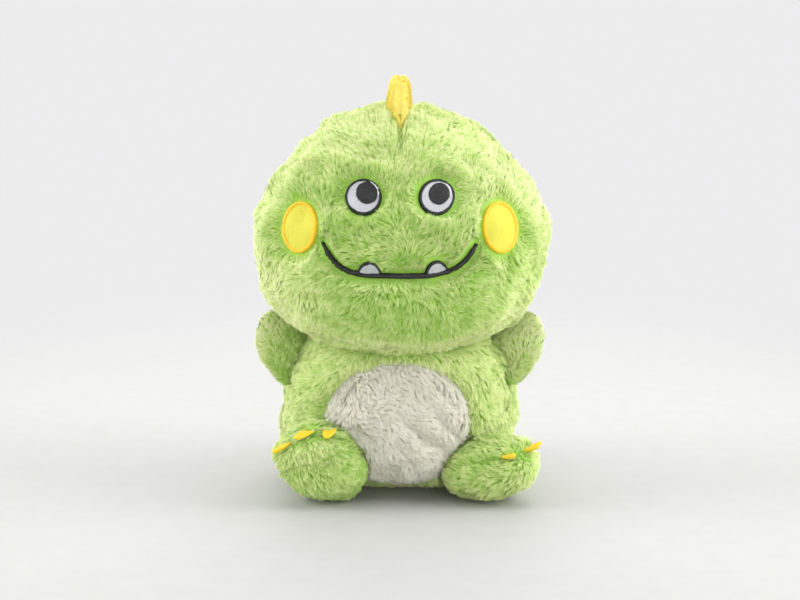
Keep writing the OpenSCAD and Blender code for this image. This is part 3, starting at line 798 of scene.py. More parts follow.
def make_arm(side):
    """Flat flipper of two panels sewn round the rim; its outer part folds forward."""
    angles = circle(ARM_AROUND)
    fold = ARM_FOLD[side]
    rings = []
    for out, middle, half, thick in smooth_rows(ARM_ROWS, 5):
        along = middle * ARM_ROOT + half * ARM_ROOT * np.cos(angles)
        across = thick * ARM_THICKNESS / 2 * np.sin(angles) * (1 - 0.25 * np.abs(np.cos(angles)) ** 8)
        across = across + 1.5 - fold * max(0, out - 0.3) ** 1.6 - 0.002 * fold * along**2 * out
        seam = ARM_SEAM - np.stack([5 * np.clip(-along / 20, 0, 1) ** 2 + 1, 0 * along, 0 * along], -1)
        up, fore = along[:, None] * ARM_UP, across[:, None] * ARM_FORE
        rings.append(seam + ARM_OUT * out * ARM_LENGTH + up + fore)
    return Form(mirrored(np.array(rings), side))


def arm_share(side):
    """Shorter pile along the rim, where the two panels meet."""
    def share(p):
        q = mirrored(p, side) - ARM_SEAM
        return 1 - 0.45 * bell(q @ ARM_FORE, 1.2) * step(q @ ARM_OUT, 2, 8)
    return share


def arm_tone_and_shade(side):
    """The panels' faces are darker than the fringe round the rim, most near the body: partly the pressed
    pile's deeper colour, partly painted shade.
    """
    def tone(p, normal):
        q = mirrored(p, side) - ARM_SEAM
        flat = np.abs(mirrored(normal, side) @ ARM_FORE)
        inner = 1 - step(q @ ARM_OUT, ARM_LENGTH * 0.3, ARM_LENGTH * 0.8)
        # painted shade on the panels' faces, deepest near the body
        return 0.38 - ARM_PANEL_DEPTH_AND_SHADE[side] * step(flat, 0.35, 0.85) * (0.15 + 0.85 * inner)
    return tone


# ---- pile ----


class Pile:
    """How the pile lies: which way, how long and how pale.

    part(place) combs it off stitching, and tone(place, normal) makes it paler or deeper, which is how
    painted shade goes into it.
    """

    def __init__(self, seed, away, length=6.8, width=TUFT_WIDTH, density=DENSITY, lift=0.55, swirl=0.6,
                 part=None, tone=None):
        self.rng = np.random.default_rng(seed)
        self.away = away
        self.part = part
        self.tone = tone
        self.length = length
        self.width = width
        self.density = density
        self.lift = lift
        self.swirl = swirl
        self.drift = Waves(seed + 1, 75)
        self.curl = Waves(seed + 2, 26)
        self.tuft = Waves(seed + 3, 10)
        self.fine = Waves(seed + 4, 4.5)

    def roots(self, form, faces):
        """Points spread evenly over the faces, with the form's normals there."""
        normals = form.normals()
        tris = form.tris[faces]
        a, b, c = corners(form.points, tris)
        area = np.linalg.norm(np.cross(b - a, c - a), axis=1) / 2
        count = int(area.sum() * self.density)
        pick = np.searchsorted(np.cumsum(area), self.rng.uniform(0, area.sum(), count))
        pick = np.minimum(pick, len(tris) - 1)
        u, v = self.rng.uniform(size=(2, count))
        u, v = np.where(u + v > 1, 1 - u, u), np.where(u + v > 1, 1 - v, v)
        w = np.stack([1 - u - v, u, v], -1)
        place = np.einsum("ij,ijk->ik", w, form.points[tris[pick]])
        return place, unit(np.einsum("ij,ijk->ik", w, normals[tris[pick]]))

    def lie(self, place, normal, stray):
        """Which way each tuft lies: away from a point or line, turned by swirls, then parted."""
        way = flattened(self.away(place), normal)
        turn = self.swirl * (0.55 * self.drift(place) + 0.55 * self.curl(place))
        turn = turn + stray + self.rng.normal(0, 0.15, len(place))
        way = way * np.cos(turn)[:, None] + np.cross(normal, way) * np.sin(turn)[:, None]
        if self.part:
            push, weight = self.part(place)
            way = way * (1 - weight)[:, None] + flattened(push, normal) * weight[:, None]
        return unit(way)

    def locks(self, place):
        """The tuft that leads each tuft's lock: the nearest of a thin, even choice of the roots."""
        count = max(1, int(len(place) / (self.density * LOCK_AREA)))
        leaders = self.rng.choice(len(place), count, replace=False)
        tree = KDTree(count)
        for k in leaders:
            tree.insert(place[k], k)
        tree.balance()
        return np.array([tree.find(p)[1] for p in place])

    def grow(self, name, place, normal, material, short):
        """Mesh of one lance-shaped tuft for each root; short is each one's share of the length."""
        n = len(place)
        lead = self.locks(place)
        own = self.rng.normal(size=(3, n))[:, lead]
        side, half, base, middle, tip = self.bent(place, normal, short, lead, own)
        points = np.stack([base, middle - half, middle + half, tip], 1)
        points[..., 2] = np.maximum(points[..., 2], PILE_FLOOR)
        faces = (np.arange(n) * 4)[:, None, None] + np.array([[0, 2, 1], [1, 2, 3]])
        flip = (np.cross(middle + half - base, middle - half - base) * normal).sum(1) < 0
        faces[flip] = faces[flip][:, :, ::-1]
        shade = 0.5 + 0.04 * self.tuft(place) + 0.05 * self.drift(place) + 0.05 * own[2]
        shade = shade + self.rng.normal(0, 0.07, n)
        # painted shade from the piece's tone, by place and by which way the cloth faces
        if self.tone:
            shade = shade + self.tone(place, normal)
        across = np.array([0.0, -0.014, 0.014, 0.0])
        up = np.array([0.02, 0.5, 0.5, 0.98])
        uv = np.stack([np.clip(shade, 0.03, 0.95)[:, None] + across, np.broadcast_to(up, (n, 4))], -1)
        steep = unit(np.cross(side, middle - place))
        flat = unit(np.cross(side, tip - middle))
        steep, flat = (v * np.sign((v * normal).sum(1, keepdims=True)) for v in (steep, flat))
        faced = np.stack([steep, steep + flat, steep + flat, flat], 1)
        faced = unit(unit(faced) + 0.25 * normal[:, None])
        return new_mesh(name, points.reshape(-1, 3), faces.reshape(-1, 3), material,
                        uv=uv.reshape(-1, 2), normals=faced.reshape(-1, 3))

    def bent(self, place, normal, short, lead, own):
        """Each tuft's way across, half its width that way, its base, its middle and its tip."""
        n = len(place)
        way = self.lie(place, normal, 0.28 * own[0])
        tuft = self.tuft(place)
        fine = self.fine(place)
        size = self.length / FULL_PILE
        length = self.length * short * self.rng.uniform(0.75, 1.15, n)
        stray = (self.rng.uniform(size=n) < 0.04) * self.rng.uniform(0.1, 0.35, n)
        lift = np.clip(self.lift + 0.07 * tuft + 0.05 * fine + 0.06 * own[1] + stray, 0.12, 1.2)
        gather = self.tuft.slope(place) * 0.55 + self.fine.slope(place) * 0.35
        gather = flattened_push(gather, normal) * size
        roll = self.rng.normal(0, 0.35, n)
        side = np.cross(way, normal) * np.cos(roll)[:, None] + normal * np.sin(roll)[:, None] * 0.6
        half = side * (self.width * self.rng.uniform(0.7, 1.25, n) / 2 * np.sqrt(short))[:, None]
        base = place - normal * 0.4 * size
        middle = place + way * (0.40 * length)[:, None] + normal * (0.50 * lift * length)[:, None]
        middle = middle + gather * 0.4 * short[:, None]
        tip = place + way * (0.86 * length)[:, None] + normal * (0.74 * lift * length)[:, None]
        tip = tip + (gather + self.rng.normal(0, 0.25 * size, (n, 3))) * short[:, None]
        middle = middle + (middle[lead] - middle) * LOCK_PULL[0]
        tip = tip + (tip[lead] - tip) * LOCK_PULL[1]
        return side, half, base, middle, tip


def flattened_push(push, normal):
    """The part of a push that runs along the surface."""
    return push - (push * normal).sum(1, keepdims=True) * normal


def flattened(way, normal):
    return unit(flattened_push(way, normal))


def away_from(point):
    return lambda p: p - np.array(point, float)


def along(way):
    return lambda p: np.broadcast_to(np.array(way, float), p.shape)


def stuffed(form, name, body, fill, *nodes, cloth="lime_backing", slot="lime_plush"):
    """A form as a padded piece, which stands for the CAD's filling."""
    dress(form.piece(name, cloth), body, slot, *nodes)


def dress(piece, body, slot, *nodes):
    """A piece's body and the CAD nodes it stands for; slot is not used."""
    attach(piece, body)
    if nodes:
        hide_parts(*nodes)
    return piece


# ---- head and its pile ----


def bare_share(p):
    """0 where stitching covers the face, rising to 1 where the pile is whole."""
    x, y, z = p.T
    shares = [step(mouth_distance(x, z), 1.3, 6)]
    for side in (LEFT, RIGHT):
        eye = np.hypot(x - side * EYE_X, z - EYE_Z)
        shares.append(step(eye, EYE_RADIUS - 1.2, EYE_RADIUS + 5))
        shares.append(step(cheek_distance(x, z, side), 0.93, 1.35))
    for middle in TOOTH_X:
        tooth = oval_distance(x, z, (middle, MOUTH_BOTTOM + 2), TOOTH_HALF)
        shares.append(np.where(z > MOUTH_BOTTOM, step(tooth, 0.9, 1.5), 1))
    shares = [np.where(y < -55, np.min(shares, 0), 1)]
    shares.append(1 - 0.75 * step(z, 140, 185) * bell(np.abs(y - SEAM_Y), 2.4))
    shares.append(1 - 0.6 * bell(x, 2.0) * (y > -40))
    shares.append(1 - 0.7 * bell(x, 1.8) * (y < -60) * step(z, 238, 250))
    return np.min(shares, 0)


def face_parting(p):
    """Combs the pile off the eyes, the cheeks and the mouth line."""
    x, y, z = p.T
    push = np.zeros_like(p)
    total = np.zeros(len(p))
    holes = [((side * EYE_X, EYE_Z), (EYE_RADIUS, EYE_RADIUS), 0) for side in (LEFT, RIGHT)]
    holes += [((side * CHEEK_X, CHEEK_Z), CHEEK_HALF, side * CHEEK_LEAN) for side in (LEFT, RIGHT)]
    for middle, half, lean in holes:
        weight = (1 - step(oval_distance(x, z, middle, half, lean), 1.05, 1.7)) * (y < -45)
        push += weight[:, None] * unit(np.stack([x - middle[0], np.zeros(len(p)), z - middle[1]], -1))
        total += weight
    offset = from_mouth(x, z)
    weight = (1 - step(np.linalg.norm(offset, axis=1), 2.5, 9)) * (y < -60)
    push += weight[:, None] * unit(np.stack([offset[:, 0], np.zeros(len(p)), offset[:, 1]], -1))
    seam = x / 6 * bell(x, 5) * step(z, 236, 246) * (y < -55)
    push[:, 0] += seam
    total += weight + np.abs(seam)
    return push, np.clip(total, 0, 1)


def face_tone_and_shade(p, normal):
    """The pile lies open on the muzzle, so its deeper colour shows there; this darkening of the forward
    faces is partly painted shade, and the faces that look down, under the chin, get painted shade.
    """
    # painted shade: darker where the cloth faces forward and where it faces down
    muzzle = step(-normal[:, 1], 0.5, 0.95) * (1 - 0.5 * step(p[:, 2], 205, 232))
    return 0.07 - 0.30 * muzzle - 0.04 * step(-normal[:, 2], 0.1, 0.6)


def head_panels(form):
    """The head's pile by panel: faces of the face panel's halves and the two back panels."""
    outside = np.all(form.tris >= form.first * form.cols, axis=1)
    outside &= np.any(form.tris < form.rows * form.cols, axis=1)
    x, y, z = form.middles().T
    for end, by_end in (("face", y < SEAM_Y), ("back", ~(y < SEAM_Y))):
        for level, by_level in (("upper", z > PANEL_SPLIT_Z), ("lower", ~(z > PANEL_SPLIT_Z))):
            for word, by_side in (("left", x > 0), ("right", ~(x > 0))):
                yield f"{end}_pile_{level}_{word}", outside & by_end & by_side & by_level


EVERYWHERE = slice(None)
BARE = 0.04  # the share of the pile's length up to which none grows


def covered(form, faces, pile, name, share_of, body, *nodes, cloth="lime_pile", slot="lime_plush"):
    """Grows the pile on the given faces, shortened by share_of(place), and none where that is BARE."""
    place, normal = pile.roots(form, faces)
    share = share_of(place)
    keep = share > BARE
    dress(pile.grow(name, place[keep], normal[keep], cloth, share[keep]), body, slot, *nodes)


def whole(p):
    return np.ones(len(p))


def make_head_pieces(form):
    stuffed(form, "head_form", "head", 0.8, "head_stuffing")
    stands_for = {
        "face_pile_upper_left": ["face_panel"],
        "back_pile_upper_left": ["head_back_left"],
        "back_pile_upper_right": ["head_back_right"],
    }
    piles = {"face": Pile(100, away_from((0, -118, 172)), part=face_parting, tone=face_tone_and_shade),
             "back": Pile(150, away_from((0, -60, 290)), lift=0.45)}
    for name, faces in head_panels(form):
        covered(form, faces, piles[name[:4]], name, bare_share, "head", *stands_for.get(name, []))


# ---- body and its pile ----


def body_share(p):
    """Shorter pile along the body's seams and round the belly patch."""
    x, y, z = p.T
    share = 1 - 0.6 * bell(x, 2.0) * (y > 0)
    edge = (patch_distance(p) - 1) * PATCH_RADIUS
    share = np.minimum(share, 1 - 0.55 * bell(edge, 1.6) * (y < -50))
    return share * (0.6 + 0.4 * step(z, 0, 12))


def make_body_pieces(form):
    stuffed(form, "body_form", "torso", 0.75, "body_stuffing", "body_base")
    middle = form.middles()
    x, y, _ = middle.T
    share_out = np.where(y < -45, patch_distance(middle), 2)
    cream = new_mesh("belly_patch_backing", form.points + form.normals() * 0.3,
                     form.tris[share_out < 0.99], "cream_backing")
    dress(cream, "torso", "white_plush")
    wall = np.all((form.tris >= form.first * form.cols) & (form.tris < form.last * form.cols), axis=1)
    lime = wall & ~(share_out < 1)
    pile = Pile(200, away_from((0, -95, 165)))
    for word, half in (("left", x > 0), ("right", ~(x > 0))):
        for end, part, nodes in (("front", y < 0, [f"body_{word}"]), ("rear", ~(y < 0), [])):
            name = f"body_pile_{word}_{end}"
            covered(form, lime & half & part, pile, name, body_share, "torso", *nodes)
    white = Pile(260, away_from((-60, -60, 190)), length=6.0, swirl=0.7)
    covered(form, wall & (share_out < 1), white, "belly_patch_pile", body_share, "torso", "belly_patch",
            cloth="white_pile", slot="white_plush")


def make_neck():
    """Gathered sleeve over the neck ball, seen only in the crease when the head moves."""
    angles = circle(180)
    form = Form([ball_ring(NECK_RADIUS - SEAM_GAP, down, angles) for down in np.linspace(176, 4, 70)])
    around = np.arctan2(form.points[:, 0], form.points[:, 1] - NECK[1])
    form.press(0.35 * np.sin(around * 44) * bell(form.points[:, 2] - NECK[2], 40))
    stuffed(form, "neck_sleeve", "neck", 0.7, "neck_stuffing")
    height = (form.middles() - NECK) @ NECK_AXIS
    pile = Pile(280, along((0, 0, 1)), length=4, lift=0.25)
    covered(form, np.abs(height) < 20, pile, "neck_pile", whole, "neck")


# ---- feet, tail and arms ----


def make_limb(name, form, pile, share_of, *nodes):
    """A stuffed limb: its form stands for the filling, its pile for the cloth panels."""
    stuffed(form, name + "_form", name, 0.75, name + "_stuffing")
    covered(form, EVERYWHERE, pile, name + "_pile", share_of, name, *nodes)


def under_share(p):
    """Pile pressed short where the toy sits on it."""
    return 0.45 + 0.55 * step(p[:, 2], 1, 9)


def foot_share(side):
    """Shorter pile under the foot, along its seam and in its fold."""
    def share(p):
        local = into_foot(p, side)
        at_seam = 1 - 0.6 * bell(foot_seam(local, side), 0.05)
        return under_share(p) * at_seam * (1 - 0.4 * bell(foot_fold(local, side) + 0.06, 0.06))
    return share


def foot_painted_shade(side):
    """Painted shade: darker on the sole below the fold, and along the seam."""
    def tone(p, normal):
        local = into_foot(p, side)
        # painted shade under the fold and in the seam
        sole = 1 - step(foot_fold(local, side), -0.05, 0.02)
        seam = 0.14 * bell(foot_seam(local, side) + 0.04, 0.12) * step(-local[:, 1], 0, 0.5)
        return -0.04 - 0.16 * sole - seam
    return tone


def make_feet():
    for word, side in SIDES.items():
        name = f"foot_{word}"
        toe = FOOT_PLACE[side] + with_foot(FOOT_TOE, side)
        pile = Pile(300 + 20 * side, away_from(toe), length=6.3, lift=0.5, swirl=0.5, tone=foot_painted_shade(side))
        make_limb(name, make_foot(side), pile, foot_share(side), f"{name}_upper", f"{name}_sole")
        make_claws(name, side)


def tail_share(p):
    return under_share(p) * (1 - 0.5 * bell(p[:, 0], 1.8))


def make_tail_pieces():
    pile = Pile(400, along((0, 1, -0.25)), length=6.3, swirl=0.6)
    make_limb("tail", make_tail(), pile, tail_share, "tail_left", "tail_right")


def make_arms():
    for word, side in SIDES.items():
        name = f"arm_{word}"
        out = mirrored(ARM_OUT + 0.35 * ARM_UP, side)
        pile = Pile(500 + 20 * side, along(out), length=5.6, lift=0.5, swirl=0.6, tone=arm_tone_and_shade(side))
        make_limb(name, make_arm(side), pile, arm_share(side), f"{name}_front", f"{name}_back")


# ---- stitching laid on a form ----


def from_front(cloth, flat, raise_by):
    """Points of the cloth at each x, z, looking straight back, raised along the cloth's normal."""
    flat = np.asarray(flat, float)
    shape = flat.shape[:-1]
    raise_by = np.broadcast_to(raise_by, shape).ravel()
    out = []
    for (x, z), lift in zip(flat.reshape(-1, 2), raise_by):
        place, normal, _, _ = cloth.ray_cast(Vector((x, -300, z)), Vector((0, 1, 0)))
        if normal.y > 0:
            normal = -normal
        out.append(place + normal * float(lift))
    return np.array(out).reshape(*shape, 3)


TUCK = 1.6  # how far the edge of a patch or line of stitching dips into the cloth
THREAD = 0.10  # height of one thread over the gap beside it
PATCH_POINTS, CORD_POINTS = 120, 9  # round a patch, and over a line of stitching


def satin_patch(name, cloth, outline, raise_by, material, pitch=0.55, crown=0.5, rows_upright=True):
    """Patch of satin stitch inside outline(share, angle); its rows of thread run one way across."""
    shares = np.concatenate([np.linspace(0.02, 0.9, 30), [0.94, 0.97, 0.99, 1.0, 1.0]])
    flat = np.array([outline(share, circle(PATCH_POINTS)) for share in shares])
    row = flat[..., 0] / pitch if rows_upright else flat[..., 1] / pitch
    dome = crown * np.sqrt(np.clip(1 - shares[:, None] ** 6, 0, 1))
    lift = raise_by + dome + THREAD * np.abs(np.sin(row * math.pi))
    lift[-1] = raise_by - TUCK
    points = from_front(cloth, flat, lift)
    uv = np.stack([row, flat[..., 1] / pitch], -1)
    rim = np.arange(PATCH_POINTS)
    fan = np.stack([np.full_like(rim, len(shares) * PATCH_POINTS), rim, (rim + 1) % PATCH_POINTS], -1)
    tris = np.concatenate([halved(grid_quads(len(shares), PATCH_POINTS)), fan[:, ::-1]])
    points = np.concatenate([points.reshape(-1, 3), [points[0].mean(0)]])
    uv = np.concatenate([uv.reshape(-1, 2), [uv[0].mean(0)]])
    return new_mesh(name, points, facing_front(points, tris), material, uv=uv)


def facing_front(points, tris):
    a, b, c = corners(points, tris)
    if np.cross(b - a, c - a)[:, 1].sum() > 0:
        return tris[:, ::-1]
    return tris


def satin_cord(name, cloth, line, half_width, raise_by, material, pitch=0.5, crown=0.8, closed=False):
    """Band of satin stitch along a flat line: the threads run across it."""
    line = np.asarray(line, float)
    if closed:
        forward, back = np.roll(line, -1, 0), np.roll(line, 1, 0)
    else:
        forward = np.concatenate([line[1:], line[-1:]])
        back = np.concatenate([line[:1], line[:-1]])
    way = unit(forward - back)
    across = np.stack([-way[:, 1], way[:, 0]], -1)
    walked = np.concatenate([[0], np.cumsum(np.linalg.norm(np.diff(line, axis=0), axis=1))])
    half_width = np.broadcast_to(half_width, len(line))
    turns = np.linspace(0, math.pi, CORD_POINTS)
    ragged = 1 + 0.07 * np.sin(walked * 5.1) + 0.05 * np.sin(walked * 11.7 + 1)
    reach = np.cos(turns)[None, :, None] * (half_width * ragged)[:, None, None]
    flat = line[:, None, :] + reach * across[:, None, :]
    thread = THREAD * np.abs(np.sin(walked * math.pi / pitch))
    lift = raise_by + (crown * np.sin(turns)[None, :] - 0.2) + thread[:, None]
    lift[:, [0, -1]] = raise_by - TUCK
    points = from_front(cloth, flat, lift).reshape(-1, 3)
    uv = np.stack([np.repeat(walked / pitch, CORD_POINTS), np.tile(turns, len(line))], -1)
    tris = halved(grid_quads(len(line), CORD_POINTS, wrap_rows=closed, wrap_cols=False))
    return new_mesh(name, points, facing_front(points, tris), material, uv=uv)


def oval(middle, half, lean=0):
    """outline(share, angles) of a leaning oval."""
    a = math.radians(lean)

    def outline(share, angles):
        u, v = half[0] * share * np.cos(angles), half[1] * share * np.sin(angles)
        return np.stack([middle[0] + u * math.cos(a) - v * math.sin(a),
                         middle[1] + u * math.sin(a) + v * math.cos(a)], -1)
    return outline


# How far each piece of the face is raised over the head's backing.
RAISED = {"white": 1.6, "outline": 1.9, "pupil": 2.35, "glint": 2.3, "cheek": 1.5, "border": 1.7,
          "mouth": 2.6, "tooth": 2.0, "tooth outline": 2.2}
WHITE_HALF, OUTLINE_HALF = (11, 11), (11.2, 11.2)
CLOTH_HALF, BORDER_HALF = (10.6, 15.4), (11, 15.9)


def sewn(piece, slot, *nodes):
    """Dresses a piece of the face."""
    return dress(piece, "head", slot, *nodes)


def make_eye(word, side, cloth):
    middle = np.array([side * EYE_X, EYE_Z])
    centre = middle + PUPIL_SHIFT[side]
    name = f"eye_{word}"
    white = satin_patch(name + "_white_stitch", cloth, oval(middle, WHITE_HALF), RAISED["white"],
                        "grey_satin")
    sewn(white, "grey_satin", name + "_white")
    line = oval(middle, OUTLINE_HALF)(1, circle(260))
    rim = satin_cord(name + "_outline_stitch", cloth, line, 0.85, RAISED["outline"],
                     "black_satin", closed=True)
    sewn(rim, "black_satin", name + "_outline")
    pupil = satin_patch(name + "_pupil_stitch", cloth, oval(centre, PUPIL_HALF), RAISED["pupil"],
                        "black_satin", crown=0.4, rows_upright=False)
    sewn(pupil, "black_satin", name + "_pupil")
    arc = np.radians(np.linspace(75, -20, 60))
    line = centre + GLINT_RADIUS * np.stack([np.cos(arc), np.sin(arc)], -1)
    taper = 0.75 * np.sin(np.linspace(0, math.pi, 60)) ** 0.7 + 0.08
    glint = satin_cord(name + "_glint_stitch", cloth, line, taper, RAISED["glint"],
                       "white_satin", crown=0.5)
    sewn(glint, "white_satin", name + "_glint")


def make_cheek(word, side, cloth):
    middle, lean = (side * CHEEK_X, CHEEK_Z), side * CHEEK_LEAN
    name = f"cheek_{word}"
    patch = satin_patch(name + "_cloth", cloth, oval(middle, CLOTH_HALF, lean), RAISED["cheek"],
                        "lemon_felt")
    sewn(patch, "yellow_velboa", name + "_patch")
    line = oval(middle, BORDER_HALF, lean)(1, circle(300))
    rim = satin_cord(name + "_border_stitch", cloth, line, 1.25, RAISED["border"],
                     "amber_satin", closed=True)
    sewn(rim, "amber_satin", name + "_border")


def make_mouth(cloth):
    t = np.linspace(-1, 1, 420)
    width = 2.1 * (1 - 0.45 * np.abs(t) ** 6)
    line = satin_cord("mouth_stitch", cloth, mouth_curve(t), width, RAISED["mouth"],
                      "black_satin", crown=0.9)
    sewn(line, "black_satin", "mouth_line")
    for word, x, nodes in (("right", TOOTH_X[0], []), ("left", TOOTH_X[1], ["tooth_outlines"])):
        base = mouth_curve(np.array([x / MOUTH_HALF]))[0, 1] + 0.4

        def outline(share, angles, x=x, base=base):
            rise = np.where(np.sin(angles) > 0, TOOTH_HALF[1], 1.2)
            return np.stack([x + TOOTH_HALF[0] * share * np.cos(angles),
                             base + rise * share * np.sin(angles)], -1)
        tooth = satin_patch(f"tooth_{word}_stitch", cloth, outline, RAISED["tooth"],
                            "grey_satin", rows_upright=False)
        sewn(tooth, "grey_satin", f"tooth_{word}")
        arc = outline(1.02, np.linspace(0, math.pi, 90))
        edge = satin_cord(f"tooth_{word}_outline_stitch", cloth, arc, 0.75, RAISED["tooth outline"],
                          "black_satin", crown=0.7)
        sewn(edge, "black_satin", *nodes)


CLAW_WIDTH, CLAW_END, CLAW_REACH, CLAW_THICKNESS = 9, 4, 9.5, 3
CLAW_OUT = 1.5  # how far its root stands out of the foot's backing
# Where each claw leaves the foot, as degrees aside from the toe and above the foot's middle.
CLAW_PLACES = {LEFT: [(-29, 18), (12, 21), (46, 22)], RIGHT: [(-40, -15), (-5, -2), (24, 11)]}
CLAW_DROOP = {LEFT: np.array([0.15, -0.1, -0.35]), RIGHT: np.array([-0.35, -0.2, -0.85])}
CLAW_TWIST = {LEFT: (0, 0, 8), RIGHT: (-8, 18, 30)}  # degrees, since each is sewn in a little askew


def claw_rings(root, out, across):
    """A tab of folded felt sewn into the foot: wide at its root, narrowing to a blunt end."""
    face = np.cross(out, across)
    angles = circle(32)
    rings = []
    for t in np.linspace(-0.5, 1, 24):
        narrow = CLAW_END + (CLAW_WIDTH - CLAW_END) * (1 - max(t, 0)) ** 0.9
        blunt = math.sqrt(max(1 - max(t, 0) ** 14, 0.004))
        x = narrow / 2 * blunt * blunted(np.cos(angles), 0.8)
        y = CLAW_THICKNESS / 2 * blunt * np.sin(angles) * (1 + 0.06 * math.sin(t * 45))
        curl = 0.035 * x**2 + 1.2 * t * abs(t)
        rings.append(root + out * t * CLAW_REACH + x[:, None] * across + (y + curl)[:, None] * face)
    return rings


def on_foot(spread, up):
    """Direction from a foot's middle, in the foot's own unit ball."""
    a, b = math.radians(spread), math.radians(up)
    return np.array([math.sin(a) * math.cos(b), -math.cos(a) * math.cos(b), math.sin(b)])


def make_claws(name, side):
    """Three felt claws in a row over the toe end."""
    points, tris, uv = [], [], []
    balls = [on_foot(*place) for place in CLAW_PLACES[side]]
    along_row = balls[2] - balls[0]
    for ball, twist in zip(balls, np.radians(CLAW_TWIST[side])):
        root, normal, across = (with_foot(v, side) for v in
                                (ball * FOOT_AXES, ball / FOOT_AXES, along_row * FOOT_AXES))
        out = unit(unit(normal) * 0.8 + CLAW_DROOP[side])
        across = unit(across - out * (across @ out))
        across = across * math.cos(twist) - np.cross(out, across) * math.sin(twist)
        form = Form(claw_rings(root + FOOT_PLACE[side] + unit(normal) * CLAW_OUT, out, across))
        tris.append(form.tris + sum(len(p) for p in points))
        points.append(form.points)
        row = np.concatenate([np.repeat(np.arange(form.rows), form.cols) * 0.9, [0, 0]])
        uv.append(np.stack([row, np.zeros_like(row)], -1))
    claws = new_mesh(name + "_felt_claws", np.concatenate(points), np.concatenate(tris),
                     "amber_felt", uv=np.concatenate(uv))
    dress(claws, name, "amber_satin", name + "_claws")


# ---- crest and spikes ----

# Where each spike stands: y, z, lean back, length, height, how far its base sags with the cloth.
SPIKES = {
    "crest": ("head", (-52, 271.5, -8, 65, 24.5, 8.5)),
    "nape_spike_upper": ("head", (19.6, 236.4, 60, 44, 18, 4.5)),
    "nape_spike_lower": ("head", (31.2, 170, 90, 50, 17, 1)),
    "back_spike_upper": ("torso", (41.4, 106.8, 60, 32, 14, 0)),
    "back_spike_lower": ("torso", (79.5, 69, 43, 26, 13, 1)),
}
SPIKE_THICKNESS = 17
SPIKE_ROOT = 0.14  # how far it runs down into the cloth, as a share of its height


def spike_form(seat, seed):
    """Two cloth halves sewn along the rim and stuffed: full in the middle, pinched at the seam."""
    y0, z0, lean, length, height, sag = seat
    angles = circle(120)
    rings = []
    for up in np.linspace(-SPIKE_ROOT, 1, 46):
        t = math.sin(math.pi / 2 * max(up, 0)) * 0.992
        shrink = (1 - t**2.5) ** (1 / 2.5)
        fat = SPIKE_THICKNESS / 2 * (0.76 + 0.24 * math.sin(min(1, 2.2 * t) * math.pi / 2))
        y = length / 2 * shrink * blunted(np.sin(angles), 0.85)
        x = fat * shrink**0.7 * blunted(np.cos(angles), 0.8)
        rise = height * t if up >= 0 else height * up
        z = rise - sag * (2 * y / length) ** 2 * (1 - t)
        rings.append(np.stack([x, y, z], -1))
    form = Form(rings)
    p = form.points
    rim = np.hypot(p[:, 1] / (length / 2), np.maximum(p[:, 2], 0) / height)
    along_rim = np.arctan2(p[:, 2], p[:, 1]) * length
    pucker = 0.45 * np.sin(along_rim / 3.4 + 2 * Waves(seed, 18)(p)) * step(rim, 0.55, 0.95)
    seam = -0.5 * bell(p[:, 0], 1.0) * step(rim, 0.5, 0.9)
    form.press(seam + pucker * step(np.abs(p[:, 0]), 0.3, 2.5) + 0.5 * Waves(seed + 1, 20)(p))
    form.points = turned(form.points, "x", -lean) + np.array([0, y0, z0])
    return form


def make_spikes():
    for k, (name, (body, seat)) in enumerate(SPIKES.items()):
        form = spike_form(seat, 600 + 10 * k)
        stuffed(form, name + "_form", body, 0.7, name + "_stuffing", name + "_shell",
                cloth="yellow_velboa", slot="yellow_velboa")
        nap = Pile(650 + 10 * k, away_from((0, seat[0], seat[1])), length=1.1, width=0.24,
                   density=(9 if FULL else 3), lift=0.6, swirl=0.5)
        covered(form, EVERYWHERE, nap, name + "_nap", whole, body,
                cloth="velboa_nap", slot="yellow_velboa")


# ---- hanging loop ----

# The cord's route, from the crown's seam out to the bend and back into the seam.
LOOP_ROUTE = [
    (0, -2, 264.5), (0, 2, 266.5), (0, 8, 268), (0, 14, 268.5), (0, 20, 269), (0, 26, 269),
    (0, 32, 268.5), (0, 36, 267.5), (0, 38.5, 265), (0, 38.5, 262), (0, 36, 260), (0, 31, 259.5),
    (0, 25, 260), (0, 19, 260.5), (0, 13, 260.8), (0, 8, 261),
]
LOOP_DIAMETER = 2


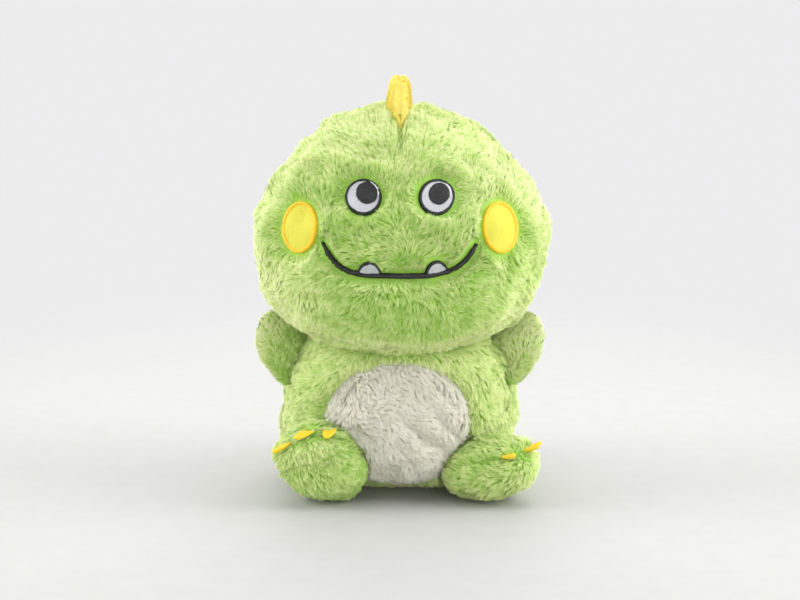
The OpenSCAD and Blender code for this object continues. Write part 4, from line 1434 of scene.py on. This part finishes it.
def make_loop():
    """Clear cord loop: a free cord that leaves the head's seam and goes back into it."""
    data = bpy.data.curves.new("hanging_loop_cord", "CURVE")
    data.dimensions = "3D"
    data.bevel_depth = LOOP_DIAMETER / 2 * MM
    data.bevel_resolution = 5
    data.use_fill_caps = True
    spline = data.splines.new("POLY")
    route = smooth_rows(LOOP_ROUTE, 4)
    spline.points.add(len(route) - 1)
    for point, place in zip(spline.points, route):
        point.co = (*(place * MM), 1)
    spline.use_smooth = True
    data.materials.append(MATERIALS["clear_cord"])
    cord = placed(bpy.data.objects.new("hanging_loop_cord", data))
    dress(cord, "head", "clear_cord", "hanging_loop")


def make_materials():
    # Each pile's roots are deeper than its tips: partly its own colour, partly painted shade deep in the
    # pile.
    pile_material(
        "lime_pile",
        [(0.1, (0.19, 0.50, 0.03)), (0.5, (0.44, 0.71, 0.09)), (0.9, (0.60, 0.80, 0.20))],
        [(0.1, (0.46, 0.71, 0.13)), (0.5, (0.90, 0.93, 0.49)), (0.9, (0.97, 0.97, 0.67))])
    pile_material(
        "white_pile",
        [(0.1, (0.52, 0.50, 0.36)), (0.5, (0.74, 0.72, 0.57)), (0.9, (0.86, 0.84, 0.70))],
        [(0.1, (0.84, 0.82, 0.69)), (0.5, (0.96, 0.94, 0.84)), (0.9, (0.99, 0.97, 0.91))])
    pile_material(
        "velboa_nap",
        [(0.1, (0.94, 0.76, 0.07)), (0.9, (0.97, 0.85, 0.16))],
        [(0.1, (0.97, 0.88, 0.22)), (0.5, (0.98, 0.93, 0.36)), (0.9, (1.0, 0.97, 0.54))])
    backing_material("lime_backing", (0.34, 0.66, 0.07), (0.45, 0.75, 0.12))
    backing_material("cream_backing", (0.60, 0.58, 0.46), (0.74, 0.72, 0.60))
    velboa_material()
    # For each of these, the second colour is the painted highlight on the crowns of its rows, and the first
    # is the painted shade between them.
    satin_material("lemon_felt", (0.64, 0.60, 0.04), (0.73, 0.69, 0.08), 0.75)
    satin_material("amber_satin", (0.85, 0.42, 0.01), (0.98, 0.62, 0.02))
    satin_material("amber_felt", (0.90, 0.52, 0.01), (1.0, 0.72, 0.04), 0.7)
    satin_material("grey_satin", (0.36, 0.37, 0.40), (0.60, 0.61, 0.64))
    satin_material("white_satin", (0.55, 0.56, 0.60), (0.80, 0.81, 0.85))
    satin_material("black_satin", (0.004, 0.004, 0.004), (0.018, 0.018, 0.02))
    cord_material()


def main():
    make_camera()
    make_materials()
    make_loop()
    make_lights()
    make_floor()
    head = make_head()
    make_head_pieces(head)
    cloth = head.tree()
    for word, side in SIDES.items():
        make_eye(word, side, cloth)
        make_cheek(word, side, cloth)
    make_mouth(cloth)
    make_body_pieces(make_body())
    make_neck()
    make_feet()
    make_tail_pieces()
    make_arms()
    make_spikes()


main()
